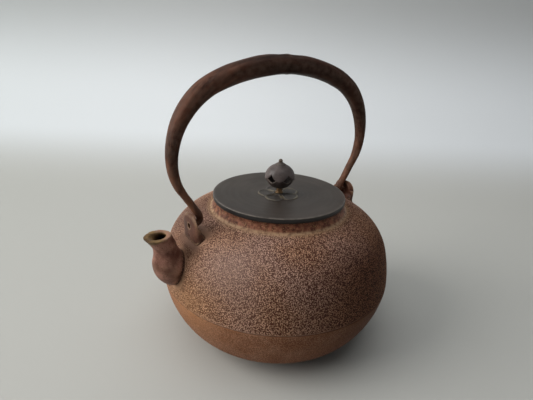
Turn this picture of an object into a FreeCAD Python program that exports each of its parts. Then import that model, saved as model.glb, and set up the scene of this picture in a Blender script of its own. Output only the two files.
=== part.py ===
import FreeCAD, Part
import math
import os

# Cast iron kettle with a bail handle. Millimetres, +Z up, origin at the middle of the base.
# The spout points along -X, and the handle stands in the XZ plane.

# Body: a flattened round casting, widest at the seam between its two mould halves
seam_radius = 85.0
seam_height = 46.0
base_radius = 52.0
neck_radius = 49.6
neck_height = 94.7
wall = 3.0
belly_reach = 11.33
belly_lean = 3.0
shoulder_slope = 4.0
bowl_reach = 15.77
bowl_lean = 6.0
base_slope = 15.0

# Collar: the short hollowed neck that the lid rests on
collar_taper = 2.6
collar_height = 6.5
collar_hollow = 0.8
collar_wall = 4.4

# Spout: a bulb that grows out of the belly, a waist and a flared lip
spout_inset = 1.9
spout_rise = 9.2
spout_lean = 10.5
bulb_radius = 10.8
bulb_swell = 16.0
bulb_base_roundness = 0.42
bulb_side_roundness = 0.5
waist_radius = 7.4
waist_height = 31.0
lip_forward = 9.6
lip_rise = 37.8
lip_radius = 8.6
lip_tilt = 4.0
throat_bow = 1.0
spout_wall = 2.7

# Lugs: two arched plates on the shoulder, each with an eye for the handle
lug_inset = 13.0
lug_thickness = 3.4
lug_half_width = 11.0
lug_rise = 8.2
lug_corner = 8.0
lug_face_round = 2.2
buttress_drop = 2.4
buttress_slope = 50.0
eye_rise = -0.1
eye_clearance = 0.25

# Handle: one bow, two bends, and legs that lean in to hooks in the eyes
handle_overhang = 8.8
bow_radius = 134.0
bend_radius = 49.5
upright = 0.5
leg_bend_radius = 36.0
leg_lean = 31.5
grip_half_thickness = 6.5
grip_half_width = 7.8
leg_half_thickness = 2.5
leg_half_width = 3.1
taper_start = 35.0
taper_end = 150.0
hook_bend = 4.0
hook_gap = 0.5
hook_end_half_thickness = 1.8
hook_end_half_width = 1.9
pin_radius = 1.5
pin_recess = 1.5
swing_limit = 50.0
leg_clearance = 0.6

# Lid: a plate with a rounded edge, a shallow dish on top and a spigot ring below
lid_overhang = 1.2
lid_thickness = 3.6
lid_edge_round = 0.9
lid_rim_width = 3.5
lid_dish = 1.2
lid_plate = 2.2
spigot_clearance = 0.6
spigot_wall = 2.4
spigot_depth = 6.5

# Knob: a five-petal bud on a pin, over a five-petal seat
petals = 5
petal_turn = -128.0
bud_radius = 10.75
bud_half_height = 9.4
bud_roundness = 0.55
bud_wall = 1.5
petal_lap = 0.04
petal_drop = 2.2
cup_inset = 0.7
cup_lap = 0.8
seat_thickness = 1.0
seat_petal_radius = 7.6
seat_petal_reach = 15.6
seat_margin = 1.5
seat_turn = -146.0
stem_radius = 2.1
stem_fit = 0.06
stem_rise = 3.6
stem_shoulder_radius = 3.0
stem_shoulder = 0.8
calyx_radius = 3.4
calyx_rim = 0.5
calyx_height = 1.9
nub_neck_radius = 1.2
nub_radius = 1.6
nub_height = 4.1
washer_radius = 6.0
washer_thickness = 1.0
washer_play = 0.3
peen_radius = 3.2
peen_foot_radius = 1.9
peen_height = 1.1

# Places that follow from these sizes
rim_height = neck_height + collar_height
collar_top_radius = neck_radius - collar_taper
mouth_radius = collar_top_radius - collar_wall
lug_face = seam_radius - lug_inset
lug_back = lug_face - lug_thickness
half_span = lug_face + handle_overhang
eye_height = neck_height + eye_rise
lid_radius = collar_top_radius + lid_overhang
lid_top = rim_height + lid_thickness
seat_under = lid_top - lid_dish
seat_top = seat_under + seat_thickness
plate_under = seat_under - lid_plate
bud_centre = seat_top + stem_rise + bud_half_height - cup_inset
calyx_foot = bud_centre + bud_half_height * math.sqrt(1 - (calyx_radius / bud_radius) ** 2)

ORIGIN = FreeCAD.Vector(0, 0, 0)
X_AXIS = FreeCAD.Vector(1, 0, 0)
Y_AXIS = FreeCAD.Vector(0, 1, 0)
Z_AXIS = FreeCAD.Vector(0, 0, 1)
TURN = 360.0
QUARTER = 90.0


def place(x, z):
    """A point of the XZ plane."""
    return FreeCAD.Vector(x, 0, z)


def heading(angle):
    """Unit vector in the XZ plane, degrees from +X towards +Z."""
    return place(math.cos(math.radians(angle)), math.sin(math.radians(angle)))


def line(start, end):
    return Part.LineSegment(start, end).toShape()


def arc(start, middle, end):
    return Part.Arc(start, middle, end).toShape()


def round_arc(centre, radius, start, end):
    """An arc of the XZ plane about a centre, between two angles in degrees."""
    points = [centre + heading(angle) * radius for angle in (start, (start + end) / 2, end)]
    return arc(*points)


def bezier(*poles):
    curve = Part.BezierCurve()
    curve.setPoles(list(poles))
    return curve.toShape()


def polygon(points):
    return [line(start, end) for start, end in zip(points, points[1:] + points[:1])]


def revolved(edges, centre=ORIGIN, axis=Z_AXIS, angle=TURN):
    face = Part.Face(Part.Wire(edges))
    return face.revolve(centre, axis, angle)


def start_of(edge):
    return edge.Vertexes[0].Point


def end_of(edge):
    return edge.Vertexes[-1].Point


def direction_of(vector):
    return math.degrees(math.atan2(vector.z, vector.x))


def arc_middle(point, along, through):
    """Middle of the arc that leaves a point along a direction and passes through another point."""
    square = place(-along.z, along.x)
    chord = through - point
    return point + square * (chord.dot(chord) / (2 * chord.dot(square)))


def tangent_arcs(start, along, end, arriving, reach):
    """Middles and join of two arcs that run smoothly from start to end.

    The reach is the length of the second arc's tangent, from its end to where its tangents meet.
    """
    span = end - start
    lead = span.dot(span) - 2 * reach * span.dot(arriving)
    lead /= 2 * (span.dot(along) + reach * (1 - along.dot(arriving)))
    share = lead / (lead + reach)
    join = (start + along * lead) * (1 - share) + (end - arriving * reach) * share
    return arc_middle(start, along, join), arc_middle(end, arriving, join), join


def wall_arcs(inset):
    """The wall's meridian at an inset from its outer face, as four arcs from the base to the neck."""
    base = place(base_radius, 0)
    seam = place(seam_radius, seam_height)
    neck = place(neck_radius, neck_height)
    up_to_seam = heading(QUARTER - bowl_lean)
    down_to_seam = heading(belly_lean - QUARTER)
    heel_centre, bowl_centre, heel_join = tangent_arcs(
        base, heading(base_slope), seam, up_to_seam, bowl_reach)
    top_centre, belly_centre, top_join = tangent_arcs(
        neck, heading(-shoulder_slope), seam, down_to_seam, belly_reach)

    hollow = place(0, seam_height)

    def inner(centre, point):
        square = (centre - point).normalize()
        return point + square * math.copysign(inset, square.dot(hollow - point))

    def middle(centre, start, end):
        halfway = ((start - centre) + (end - centre)).normalize()
        return inner(centre, centre + halfway * (end - centre).Length)

    corner = place(seam_radius - inset, seam_height)
    heel_end = inner(heel_centre, heel_join)
    top_start = inner(top_centre, top_join)
    return [
        arc(inner(heel_centre, base), middle(heel_centre, base, heel_join), heel_end),
        arc(heel_end, middle(bowl_centre, heel_join, seam), corner),
        arc(corner, middle(belly_centre, seam, top_join), top_start),
        arc(top_start, middle(top_centre, top_join, neck), inner(top_centre, neck)),
    ]


def outer_form():
    """The body's outside without its hollow: bowl, shoulder and collar."""
    arcs = wall_arcs(0)
    neck = end_of(arcs[-1])
    rim = place(collar_top_radius, rim_height)
    waist = (neck + rim) * 0.5 - place(collar_hollow, 0)
    top = place(0, rim_height)
    edges = [line(ORIGIN, start_of(arcs[0]))]
    edges += arcs
    edges += [arc(neck, waist, rim), line(rim, top), line(top, ORIGIN)]
    return revolved(edges)


def chamber():
    """The hollow for the water, up through the mouth."""
    arcs = wall_arcs(wall)
    ceiling = end_of(arcs[-1])
    slope = math.tan(math.radians(shoulder_slope))
    mouth_foot = place(mouth_radius, ceiling.z + (ceiling.x - mouth_radius) * slope)
    mouth_top = place(mouth_radius, rim_height + collar_height)
    floor = place(0, start_of(arcs[0]).z)
    top = place(0, mouth_top.z)
    edges = [line(floor, start_of(arcs[0]))]
    edges += arcs
    edges += [line(ceiling, mouth_foot), line(mouth_foot, mouth_top)]
    edges += [line(mouth_top, top), line(top, floor)]
    return revolved(edges)


def ring(centre, radius, normal):
    return Part.Wire(Part.Circle(centre, normal, radius).toShape())


def spout_form(inset):
    """The spout's outside, or its bore at an inset from the outside: a bulb and a bent throat."""
    foot = place(spout_inset - seam_radius, seam_height + spout_rise)
    up = heading(QUARTER + spout_lean)
    out = heading(2 * QUARTER + spout_lean)
    bottom = foot + up * inset
    side = foot + up * bulb_swell + out * (bulb_radius - inset)
    waist = foot + up * waist_height
    waist_side = waist + out * (waist_radius - inset)
    base_pull = out * bulb_radius * bulb_base_roundness
    side_pull = up * bulb_swell * bulb_side_roundness
    shoulder_pull = up * ((waist_height - bulb_swell) / 2)
    bulb = revolved([
        bezier(bottom, bottom + base_pull, side - side_pull, side),
        bezier(side, side + shoulder_pull, waist_side - shoulder_pull, waist_side),
        line(waist_side, waist),
        line(waist, bottom),
    ], foot, up)

    lip = foot + place(-lip_forward, lip_rise)
    halfway = (waist + lip) * 0.5 + up * throat_bow
    throat = Part.makeLoft([
        ring(waist, waist_radius - inset, up),
        ring(halfway, waist_radius - inset, (lip - waist).normalize() + up),
        ring(lip, lip_radius - inset, heading(QUARTER + lip_tilt)),
    ], True)
    return bulb.fuse(throat)


def lug(side):
    """One lug, side +1 or -1 along X: an arched plate with a buttress behind its root."""
    top = eye_height + lug_rise
    spring = top - lug_corner
    flat_half = lug_half_width - lug_corner
    knuckle = lug_corner * math.sin(math.radians(QUARTER / 2))

    def spot(y, z):
        return FreeCAD.Vector(0, y, z)

    def corner(turn):
        start = spot(turn * lug_half_width, spring)
        middle = spot(turn * (flat_half + knuckle), spring + knuckle)
        return arc(start, middle, spot(turn * flat_half, top))

    outline = Part.Face(Part.Wire([
        corner(-1),
        line(spot(-flat_half, top), spot(flat_half, top)),
        corner(1),
        line(spot(lug_half_width, spring), spot(lug_half_width, seam_height)),
        line(spot(lug_half_width, seam_height), spot(-lug_half_width, seam_height)),
        line(spot(-lug_half_width, seam_height), spot(-lug_half_width, spring)),
    ]))
    arch = outline.extrude(X_AXIS * side * lug_face)
    face_edges = [edge for edge in arch.Edges if math.isclose(abs(edge.BoundBox.Center.x), lug_face)]
    arch = arch.makeFillet(lug_face_round, face_edges)

    heel = eye_height - buttress_drop
    deep = lug_back - (heel - seam_height) * math.tan(math.radians(buttress_slope))
    profile = polygon([
        place(side * lug_face, seam_height),
        place(side * lug_face, top),
        place(side * lug_back, top),
        place(side * lug_back, heel),
        place(side * deep, seam_height),
    ])
    plate = Part.Face(Part.Wire(profile)).extrude(Y_AXIS * 4 * lug_half_width)
    plate.translate(Y_AXIS * -2 * lug_half_width)
    return arch.common(plate)


def eye_line(side, x, radius, length):
    """A round bar or hole along one lug's eye, starting at distance x from the middle."""
    start = FreeCAD.Vector(side * x, 0, eye_height)
    return Part.makeCylinder(radius, length, start, X_AXIS * side)


def hook_centre():
    """Middle of the hook's bend, above the eye and just inside the lug."""
    return place(lug_back - hook_gap, eye_height + hook_bend)


def leg_end():
    """Where the straight leg runs into its hook."""
    return hook_centre() - heading(-leg_lean) * hook_bend


def leg_relief(side):
    """What the swinging leg needs of the lug's inner face: a cone about the eye."""
    lean = math.radians(leg_lean)
    near = lug_back - lug_thickness
    far = lug_face + lug_thickness
    reach = eye_height + 2 * lug_half_width
    outside = leg_end().x + leg_half_thickness / math.cos(lean) + leg_clearance
    low = eye_height + pin_radius + eye_clearance

    def height_at(x):
        return leg_end().z + (x - outside) / math.tan(lean)

    corners = [(near, max(low, height_at(near))), (near, reach), (far, reach), (far, height_at(far))]
    side_room = (leg_half_width + leg_clearance) / (height_at(lug_back) - eye_height)
    sweep = swing_limit + math.degrees(math.asin(side_room))
    centre = place(0, eye_height)
    wedge = revolved(polygon([place(side * x, z) for x, z in corners]), centre, X_AXIS, 2 * sweep)
    wedge.rotate(centre, X_AXIS, -sweep)
    return wedge


def kettle_body():
    solid = outer_form().fuse([spout_form(0), lug(-1), lug(1)])
    solid = solid.cut(chamber())
    solid = solid.cut(spout_form(spout_wall))
    for side in (-1, 1):
        eye = eye_line(side, lug_back - lug_thickness, pin_radius + eye_clearance, 3 * lug_thickness)
        solid = solid.cut(leg_relief(side)).cut(eye)
    return solid


def leg_bend_centre():
    """Middle of the bend between the upright run and the leg."""
    turn = heading(-leg_lean) * leg_bend_radius
    x = half_span - leg_bend_radius
    run = (x + turn.x - leg_end().x) / math.sin(math.radians(leg_lean))
    return place(x, leg_end().z + run * math.cos(math.radians(leg_lean)) - turn.z)


def bend_centre():
    return place(half_span - bend_radius, leg_bend_centre().z + upright)


def bow_centre():
    """Middle of the long top arc, which runs into both bends."""
    x = bend_centre().x
    return place(0, bend_centre().z - math.sqrt((bow_radius - bend_radius) ** 2 - x ** 2))


def handle_stations():
    """Centre, heading and distance from the top, down one side of the handle to the hook."""
    stations = []
    gone = 0.0

    def follow(centre, radius, start, end, steps):
        for step in range(steps):
            turn = start + (end - start) * step / steps
            run = gone + math.radians(turn - start) * radius
            stations.append((centre + heading(QUARTER - turn) * radius, heading(-turn), run))
        return gone + math.radians(end - start) * radius

    join = QUARTER - direction_of(bend_centre() - bow_centre())
    gone = follow(bow_centre(), bow_radius, 0, join, steps=4)
    gone = follow(bend_centre(), bend_radius, join, QUARTER, steps=6)
    gone += upright
    gone = follow(leg_bend_centre(), leg_bend_radius, QUARTER, QUARTER + leg_lean, steps=3)
    leg_start = leg_bend_centre() + heading(-leg_lean) * leg_bend_radius
    down = heading(-QUARTER - leg_lean)
    run = (leg_end() - leg_start).Length
    leg_steps = 4
    for step in range(leg_steps + 1):
        along = run * step / leg_steps
        stations.append((leg_start + down * along, down, gone + along))
    return stations


def hook_stations():
    """Centre, heading and share of the hook's bend, from the leg's end to the pin."""
    steps = 4
    stations = []
    for step in range(1, steps + 1):
        share = step / steps
        angle = 2 * QUARTER - leg_lean + (QUARTER + leg_lean) * share
        stations.append((hook_centre() + heading(angle) * hook_bend, heading(angle + QUARTER), share))
    return stations


def oval(centre, forward, half_thickness, half_width):
    """An oval ring across the handle: half_width along Y, half_thickness in the handle's plane."""
    across = forward.cross(Y_AXIS)
    ellipse = Part.Ellipse(centre + Y_AXIS * half_width, centre + across * half_thickness, centre)
    return Part.Wire(ellipse.toShape())


def eased(low, high, value):
    """0 up to low, 1 from high on, and smooth between."""
    share = min(max((value - low) / (high - low), 0), 1)
    return (1 - math.cos(math.pi * share)) / 2


def between(start, end, share):
    return start + (end - start) * share


def half_rings():
    """Centre, heading and half sizes of the oval rings down one side, from the grip to the pin."""
    rings = []
    for centre, forward, gone in handle_stations():
        slim = eased(taper_start, taper_end, gone)
        thick = between(grip_half_thickness, leg_half_thickness, slim)
        wide = between(grip_half_width, leg_half_width, slim)
        rings.append((centre, forward, thick, wide))
    for centre, forward, share in hook_stations():
        thick = between(leg_half_thickness, hook_end_half_thickness, share)
        wide = between(leg_half_width, hook_end_half_width, share)
        rings.append((centre, forward, thick, wide))
    return rings


def handle():
    """Two mirrored halves, and a pin in each hook that passes into the eye."""
    right = Part.makeLoft([oval(*sizes) for sizes in half_rings()], True)
    left = right.mirror(ORIGIN, X_AXIS)
    pin_start = hook_centre().x - pin_radius
    pin_length = lug_face - pin_recess - pin_start
    pins = [eye_line(side, pin_start, pin_radius, pin_length) for side in (-1, 1)]
    return right.fuse([left] + pins).removeSplitter()


def is_ring(edge, radius):
    """Whether an edge is a full circle of this radius."""
    return isinstance(edge.Curve, Part.Circle) and math.isclose(edge.Curve.Radius, radius)


def lid():
    spigot_radius = mouth_radius - spigot_clearance
    spigot_foot = rim_height - spigot_depth
    hole = stem_radius + stem_fit
    solid = revolved(polygon([
        place(hole, seat_under),
        place(seat_petal_reach + seat_margin, seat_under),
        place(lid_radius - lid_rim_width, lid_top),
        place(lid_radius, lid_top),
        place(lid_radius, rim_height),
        place(spigot_radius, rim_height),
        place(spigot_radius, spigot_foot),
        place(spigot_radius - spigot_wall, spigot_foot),
        place(spigot_radius - spigot_wall, plate_under),
        place(hole, plate_under),
    ]))
    return solid.makeFillet(lid_edge_round, [edge for edge in solid.Edges if is_ring(edge, lid_radius)])


def petal_direction(first, petal):
    turn = math.radians(first + TURN * petal / petals)
    return FreeCAD.Vector(math.cos(turn), math.sin(turn), 0)


def knob_seat():
    """Five round petals about the stem."""
    reach = seat_petal_reach - seat_petal_radius
    discs = []
    for petal in range(petals):
        middle = place(0, seat_under) + petal_direction(seat_turn, petal) * reach
        discs.append(Part.makeCylinder(seat_petal_radius, seat_thickness, middle))
    hole = Part.makeCylinder(stem_radius + stem_fit, seat_thickness, place(0, seat_under))
    return discs[0].fuse(discs[1:]).cut(hole).removeSplitter()


def egg(inset):
    """The bud's egg-round form, at an inset from its outside."""
    middle = place(0, bud_centre)
    out = X_AXIS * (bud_radius - inset)
    up = Z_AXIS * (bud_half_height - inset)
    side = middle + out
    out_pull = out * bud_roundness
    up_pull = up * bud_roundness
    return revolved([
        bezier(middle - up, middle - up + out_pull, side - up_pull, side),
        bezier(side, side + up_pull, middle + up + out_pull, middle + up),
        line(middle + up, middle - up),
    ])


def slab(low, high):
    """Everything between two heights, wide enough to hold the bud."""
    return Part.makeCylinder(2 * bud_radius, high - low, place(0, low))


def knob_bud():
    """Five petals that come down over a cup, with a window between each two of them."""
    petal_round = bud_radius * math.sin(math.pi / petals) + petal_lap
    petal_middle = bud_centre - petal_drop + petal_round
    under = bud_centre - bud_half_height
    petal_zone = slab(petal_middle, calyx_foot)
    for petal in range(petals):
        outward = petal_direction(petal_turn, petal)
        lobe = Part.makeCylinder(petal_round, 2 * bud_radius, place(0, petal_middle), outward)
        petal_zone = petal_zone.fuse(lobe.common(slab(under, calyx_foot)))
    crown = egg(0).common(petal_zone).cut(egg(bud_wall))
    cup = egg(cup_inset).cut(egg(cup_inset + bud_wall))
    cup = cup.common(slab(under, bud_centre - petal_drop + cup_lap))
    bore = Part.makeCylinder(stem_radius, calyx_foot - under, place(0, under))
    return crown.fuse(cup).cut(bore).removeSplitter()


def knob_calyx():
    """Cap with a nub, flat below where it sits on the bud and on the stem's end."""
    foot = place(0, calyx_foot)
    tip = foot + Z_AXIS * nub_height
    nub = tip - Z_AXIS * nub_radius
    neck = foot + place(nub_neck_radius, calyx_height)
    rim = foot + place(calyx_radius, 0)
    rim_top = rim + Z_AXIS * calyx_rim
    return revolved([
        line(foot, rim),
        line(rim, rim_top),
        bezier(rim_top, foot + place(nub_neck_radius, calyx_rim), neck),
        line(neck, nub + X_AXIS * nub_radius),
        round_arc(nub, nub_radius, 0, QUARTER),
        line(tip, foot),
    ])


def knob_stem():
    """Pin with a shoulder that stands on the seat, up to the cap and down through the lid."""
    washer_under = plate_under - washer_play - washer_thickness
    pin = Part.makeCylinder(stem_radius, calyx_foot - washer_under, place(0, washer_under))
    shoulder = Part.makeCylinder(stem_shoulder_radius, stem_shoulder, place(0, seat_top))
    peen_foot = place(0, washer_under - peen_height)
    peen = Part.makeCone(peen_foot_radius, peen_radius, peen_height, peen_foot)
    return pin.fuse([shoulder, peen]).removeSplitter()


def stem_washer():
    under = place(0, plate_under - washer_play - washer_thickness)
    disc = Part.makeCylinder(washer_radius, washer_thickness, under)
    return disc.cut(Part.makeCylinder(stem_radius, washer_thickness, under))


def main():
    os.makedirs("parts", exist_ok=True)
    pieces = {
        "kettle_body": kettle_body(),
        "handle": handle(),
        "lid": lid(),
        "knob_seat": knob_seat(),
        "knob_bud": knob_bud(),
        "knob_calyx": knob_calyx(),
        "knob_stem": knob_stem(),
        "stem_washer": stem_washer(),
    }
    for name, shape in pieces.items():
        shape.exportStep(f"parts/{name}.step")
        print(f"{name}: {len(shape.Solids)} solid, valid {shape.isValid()}, {shape.Volume:.0f} mm3")
    print(f"eyes at height {eye_height:.2f}, lug faces at {lug_face:.2f}, rim at {rim_height:.2f}")
    print(f"seat top at {seat_top:.2f}, bud's middle at {bud_centre:.2f}, cap's foot at {calyx_foot:.2f}")


main()
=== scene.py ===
# %% [markdown]
# # A cast iron kettle with a bail handle
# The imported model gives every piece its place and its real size. This file dresses it: a hail-grained iron
# body, a forged handle, a dark bronze lid and a small bronze bud for a knob. Everything is in metres, in
# the frame of the model: +Z is up, the spout points along -X, and the handle stands in the XZ plane.

# %% Load the model as a fixed frame
import math

import bpy
import bmesh
import numpy as np
from mathutils import Matrix, Vector


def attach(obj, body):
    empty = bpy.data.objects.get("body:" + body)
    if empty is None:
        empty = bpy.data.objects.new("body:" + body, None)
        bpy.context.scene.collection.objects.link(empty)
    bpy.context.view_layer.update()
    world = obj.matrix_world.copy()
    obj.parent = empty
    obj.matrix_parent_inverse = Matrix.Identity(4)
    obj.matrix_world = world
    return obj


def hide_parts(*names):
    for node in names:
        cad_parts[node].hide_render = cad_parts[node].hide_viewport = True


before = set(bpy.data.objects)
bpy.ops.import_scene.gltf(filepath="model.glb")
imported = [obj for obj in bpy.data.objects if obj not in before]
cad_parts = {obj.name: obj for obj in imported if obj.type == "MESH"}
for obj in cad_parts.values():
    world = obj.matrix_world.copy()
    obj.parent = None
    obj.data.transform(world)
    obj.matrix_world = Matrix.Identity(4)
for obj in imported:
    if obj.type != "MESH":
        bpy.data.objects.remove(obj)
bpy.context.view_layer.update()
mm = 0.001
print("nodes:", sorted(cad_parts))

# %% [markdown]
# ## Node trees in short calls
# A node tree is easier to read when each node is one call: its kind, what goes into it, and its settings. A
# value that is a socket becomes a link, and any other value is set on the socket itself.


# %% Helpers for node trees
def fill(tree, node, inputs):
    for name, value in inputs.items():
        if isinstance(value, bpy.types.NodeSocket):
            tree.links.new(value, node.inputs[name])
        else:
            node.inputs[name].default_value = value
    return node


def add(tree, kind, inputs=None, **settings):
    made = tree.nodes.new(kind)
    for name, value in settings.items():
        setattr(made, name, value)
    return fill(tree, made, inputs or {})


def math_node(tree, operation, *values, **settings):
    return add(tree, "ShaderNodeMath", dict(enumerate(values)), operation=operation, **settings).outputs[0]


def scaled(tree, vector, amount):
    return add(tree, "ShaderNodeVectorMath", {0: vector, "Scale": amount}, operation="SCALE").outputs[0]


def titled(values):
    """Python names as names of sockets: grain_size becomes Grain Size."""
    return {label.replace("_", " ").title(): value for label, value in values.items()}


def new_tree(kind, name, inputs, outputs):
    """A tree, its inputs and its output node; an input is a number, or the kind of a socket without one."""
    tree = bpy.data.node_groups.new(name, kind)
    for label, value in inputs.items():
        sort = {float: "Float", int: "Int"}.get(type(value), value)
        socket = tree.interface.new_socket(name=label, in_out="INPUT", socket_type="NodeSocket" + sort)
        if sort != value:
            socket.default_value = value
    for label, sort in outputs.items():
        tree.interface.new_socket(name=label, in_out="OUTPUT", socket_type="NodeSocket" + sort)
    return tree, tree.nodes.new("NodeGroupInput").outputs, tree.nodes.new("NodeGroupOutput")


# %% [markdown]
# ## Shared finishes
# A few effects come back on every piece, so each is a shader group: broad patches and specks in a colour,
# wear on edges with grime in hollows, and the fine unevenness that a sand mould leaves. A group gives back
# only numbers that vary over the surface. The Principled shader stays in the material.


# %% Helpers for finishes
def shader_group(name, inputs, *outputs):
    return new_tree("ShaderNodeTree", name, inputs, dict.fromkeys(outputs, "Float"))


def grouped(tree, group, **inputs):
    """The outputs of a group that is placed in a tree."""
    return add(tree, "ShaderNodeGroup", titled(inputs), node_tree=group).outputs


def ranged(tree, value, low, high, to_low=0.0, to_high=1.0):
    """A value brought smoothly from one range into another."""
    inputs = {"Value": value, "From Min": low, "From Max": high, "To Min": to_low, "To Max": to_high}
    return add(tree, "ShaderNodeMapRange", inputs, interpolation_type="SMOOTHSTEP").outputs[0]


def spread(tree, mask, low, high):
    """A mask of 0 to 1 brought into a range."""
    return ranged(tree, mask, 0.0, 1.0, low, high)


def noise(tree, place, scale, seed, detail, rough=0.5):
    inputs = {"Vector": place, "W": seed, "Scale": scale, "Detail": detail, "Roughness": rough}
    return add(tree, "ShaderNodeTexNoise", inputs, noise_dimensions="4D").outputs[0]


def stored(tree, name, output="Fac"):
    """A value that the mesh keeps under a name."""
    return add(tree, "ShaderNodeAttribute", attribute_name=name).outputs[output]


# %% [markdown]
# **Patches and specks.** Lacquered iron is never one even brown. One slow noise moves the colour over
# centimetres, and a quick one makes the rust and lacquer specks.

# %% The patch group
specks_per_patch = 11.0
patches, given, result = shader_group(
    "lacquer_patches", {"Place": "Vector", "Patch Size": 0.02, "Seed": 0.0}, "Patches", "Specks"
)
broad_scale = math_node(patches, "DIVIDE", 1.0, given["Patch Size"])
speck_scale = math_node(patches, "MULTIPLY", broad_scale, specks_per_patch)
broad = noise(patches, given["Place"], broad_scale, given["Seed"], detail=4.0)
specks = noise(patches, given["Place"], speck_scale, given["Seed"], detail=3.0, rough=0.6)
fill(patches, result, {"Patches": ranged(patches, broad, 0.32, 0.68)})
fill(patches, result, {"Specks": ranged(patches, specks, 0.52, 0.68)})
print("shader group:", patches.name)

# %% [markdown]
# **Wear and grime.** Iron that has been handled for years is paler on its edges and darker in its hollows.
# The edge and hollow numbers of the mesh are broken up by a noise, because a hand rubs an edge unevenly and
# soot does not settle evenly either.

# %% The wear group
rub_scale = 260.0
wear, given, result = shader_group("rubbed_edges", {"Place": "Vector", "Seed": 0.0}, "Rubbed", "Grime")
breakup = noise(wear, given["Place"], rub_scale, given["Seed"], detail=3.0)
breakup = ranged(wear, breakup, 0.3, 0.65, 0.25, 1.0)
for output, mark in (("Rubbed", "edge"), ("Grime", "hollow")):
    fill(wear, result, {output: math_node(wear, "MULTIPLY", stored(wear, mark), breakup)})
print("shader group:", wear.name)

# %% [markdown]
# **Mould skin.** Sand and clay leave a surface of small lumps with finer grain on them. The group gives a
# height for a Bump node.

# %% The mould skin group
lumps_per_grain = 0.28
grain_share = 0.5
mould_skin, given, result = shader_group(
    "mould_skin", {"Place": "Vector", "Grain": 0.001, "Seed": 0.0}, "Height"
)
grain_scale = math_node(mould_skin, "DIVIDE", 1.0, given["Grain"])
lump_scale = math_node(mould_skin, "MULTIPLY", grain_scale, lumps_per_grain)
lumps = noise(mould_skin, given["Place"], lump_scale, given["Seed"], detail=1.0)
grains = noise(mould_skin, given["Place"], grain_scale, given["Seed"], detail=3.0, rough=0.6)
grains = math_node(mould_skin, "MULTIPLY", grains, grain_share)
fill(mould_skin, result, {"Height": math_node(mould_skin, "ADD", lumps, grains)})
print("shader group:", mould_skin.name)

# %% [markdown]
# **Hail.** The maker stamps the clay mould full of small dents, so the casting comes out full of small
# raised grains, called hail. A cell pattern puts one dot in each cell, and a noise bends the cells first,
# so that some dots run together into short worms. The geometry and the finish both need it, so one function
# adds it to either kind of tree. The finish reads each point's place from before the grains were pressed,
# so that the two agree.

# %% The hail pattern
grain_size = 0.70 * mm
smooth_level = 0.5
bend_share = 0.9
valley_distance = 0.58
crest_distance = 0.26
belly_seed = 4.7
bowl_seed = 9.2
boss_seed = 6.1


def hail_cells(tree, place, size, seed):
    """Crests of the hail: 1 on a grain, 0 in a valley."""
    scale = math_node(tree, "DIVIDE", 1.0, size)
    bend_inputs = {"Vector": place, "Scale": scale, "W": seed, "Detail": 0.0}
    bend = add(tree, "ShaderNodeTexNoise", bend_inputs, noise_dimensions="4D").outputs["Color"]
    bend = scaled(tree, bend, math_node(tree, "MULTIPLY", size, bend_share))
    bent = add(tree, "ShaderNodeVectorMath", {0: place, 1: bend}, operation="ADD").outputs[0]
    cells = add(tree, "ShaderNodeTexVoronoi", {"Vector": bent, "Scale": scale}, feature="F1")
    return ranged(tree, cells.outputs["Distance"], valley_distance, crest_distance)


def masked_hail(tree, crests, mask):
    """The hail where the mask is 1, and the level of smooth iron where it is 0."""
    share = math_node(tree, "MULTIPLY", math_node(tree, "SUBTRACT", crests, smooth_level), mask)
    return math_node(tree, "ADD", share, smooth_level)


hail_relief, given, result = shader_group("hail_relief", {"Grain Size": grain_size, "Seed": 0.0}, "Relief")
unpressed = stored(hail_relief, "unpressed", "Vector")
crests = hail_cells(hail_relief, unpressed, given["Grain Size"], given["Seed"])
fill(hail_relief, result, {"Relief": masked_hail(hail_relief, crests, stored(hail_relief, "grain"))})
print("shader group:", hail_relief.name)


# %% [markdown]
# Every finish below is made the same way: a Principled shader with the object's own coordinates, a base
# colour with tints laid over it like coats of lacquer, a roughness that follows one of the masks, and the
# mould skin as a bump.


# %% The steps of a finish
def new_finish(name, specular=0.5, metallic=0.0):
    """A material, its node tree, and the coordinates of the object."""
    material = bpy.data.materials.new(name)
    material.use_nodes = True
    tree = material.node_tree
    tree.nodes.clear()
    surface = add(tree, "ShaderNodeBsdfPrincipled", {"Metallic": metallic, "Specular IOR Level": specular})
    add(tree, "ShaderNodeOutputMaterial", {"Surface": surface.outputs[0]})
    return material, tree, add(tree, "ShaderNodeTexCoord").outputs["Object"]


def blended(tree, share, *colours, mode="MIX"):
    """Two colours in one; a colour is a socket or three numbers."""
    first, second = [part if isinstance(part, bpy.types.NodeSocket) else (*part, 1.0) for part in colours]
    inputs = {0: share, 6: first, 7: second}
    return add(tree, "ShaderNodeMix", inputs, data_type="RGBA", blend_type=mode).outputs[2]


def layered(tree, base, *layers):
    """Tints over a base colour; a layer is a mask or the name of a stored one, a strength and a tint."""
    for mask, strength, tint in layers:
        if isinstance(mask, str):
            mask = stored(tree, mask)
        base = blended(tree, math_node(tree, "MULTIPLY", mask, strength), base, tint)
    return base


def complete(material, place, base, rough, bump, **more):
    """Fills the shader; rough is a mask and two roughnesses, bump is grain, strength, depth and seed."""
    tree = material.node_tree
    grain, strength, depth, seed = bump
    height = grouped(tree, mould_skin, place=place, grain=grain, seed=seed)["Height"]
    bumps = add(tree, "ShaderNodeBump", {"Height": height, "Strength": strength, "Distance": depth})
    inputs = {"Base Color": base, "Roughness": spread(tree, *rough), "Normal": bumps.outputs[0]}
    fill(tree, tree.nodes["Principled BSDF"], {**inputs, **titled(more)})
    print("finish:", material.name)
    return material
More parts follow.
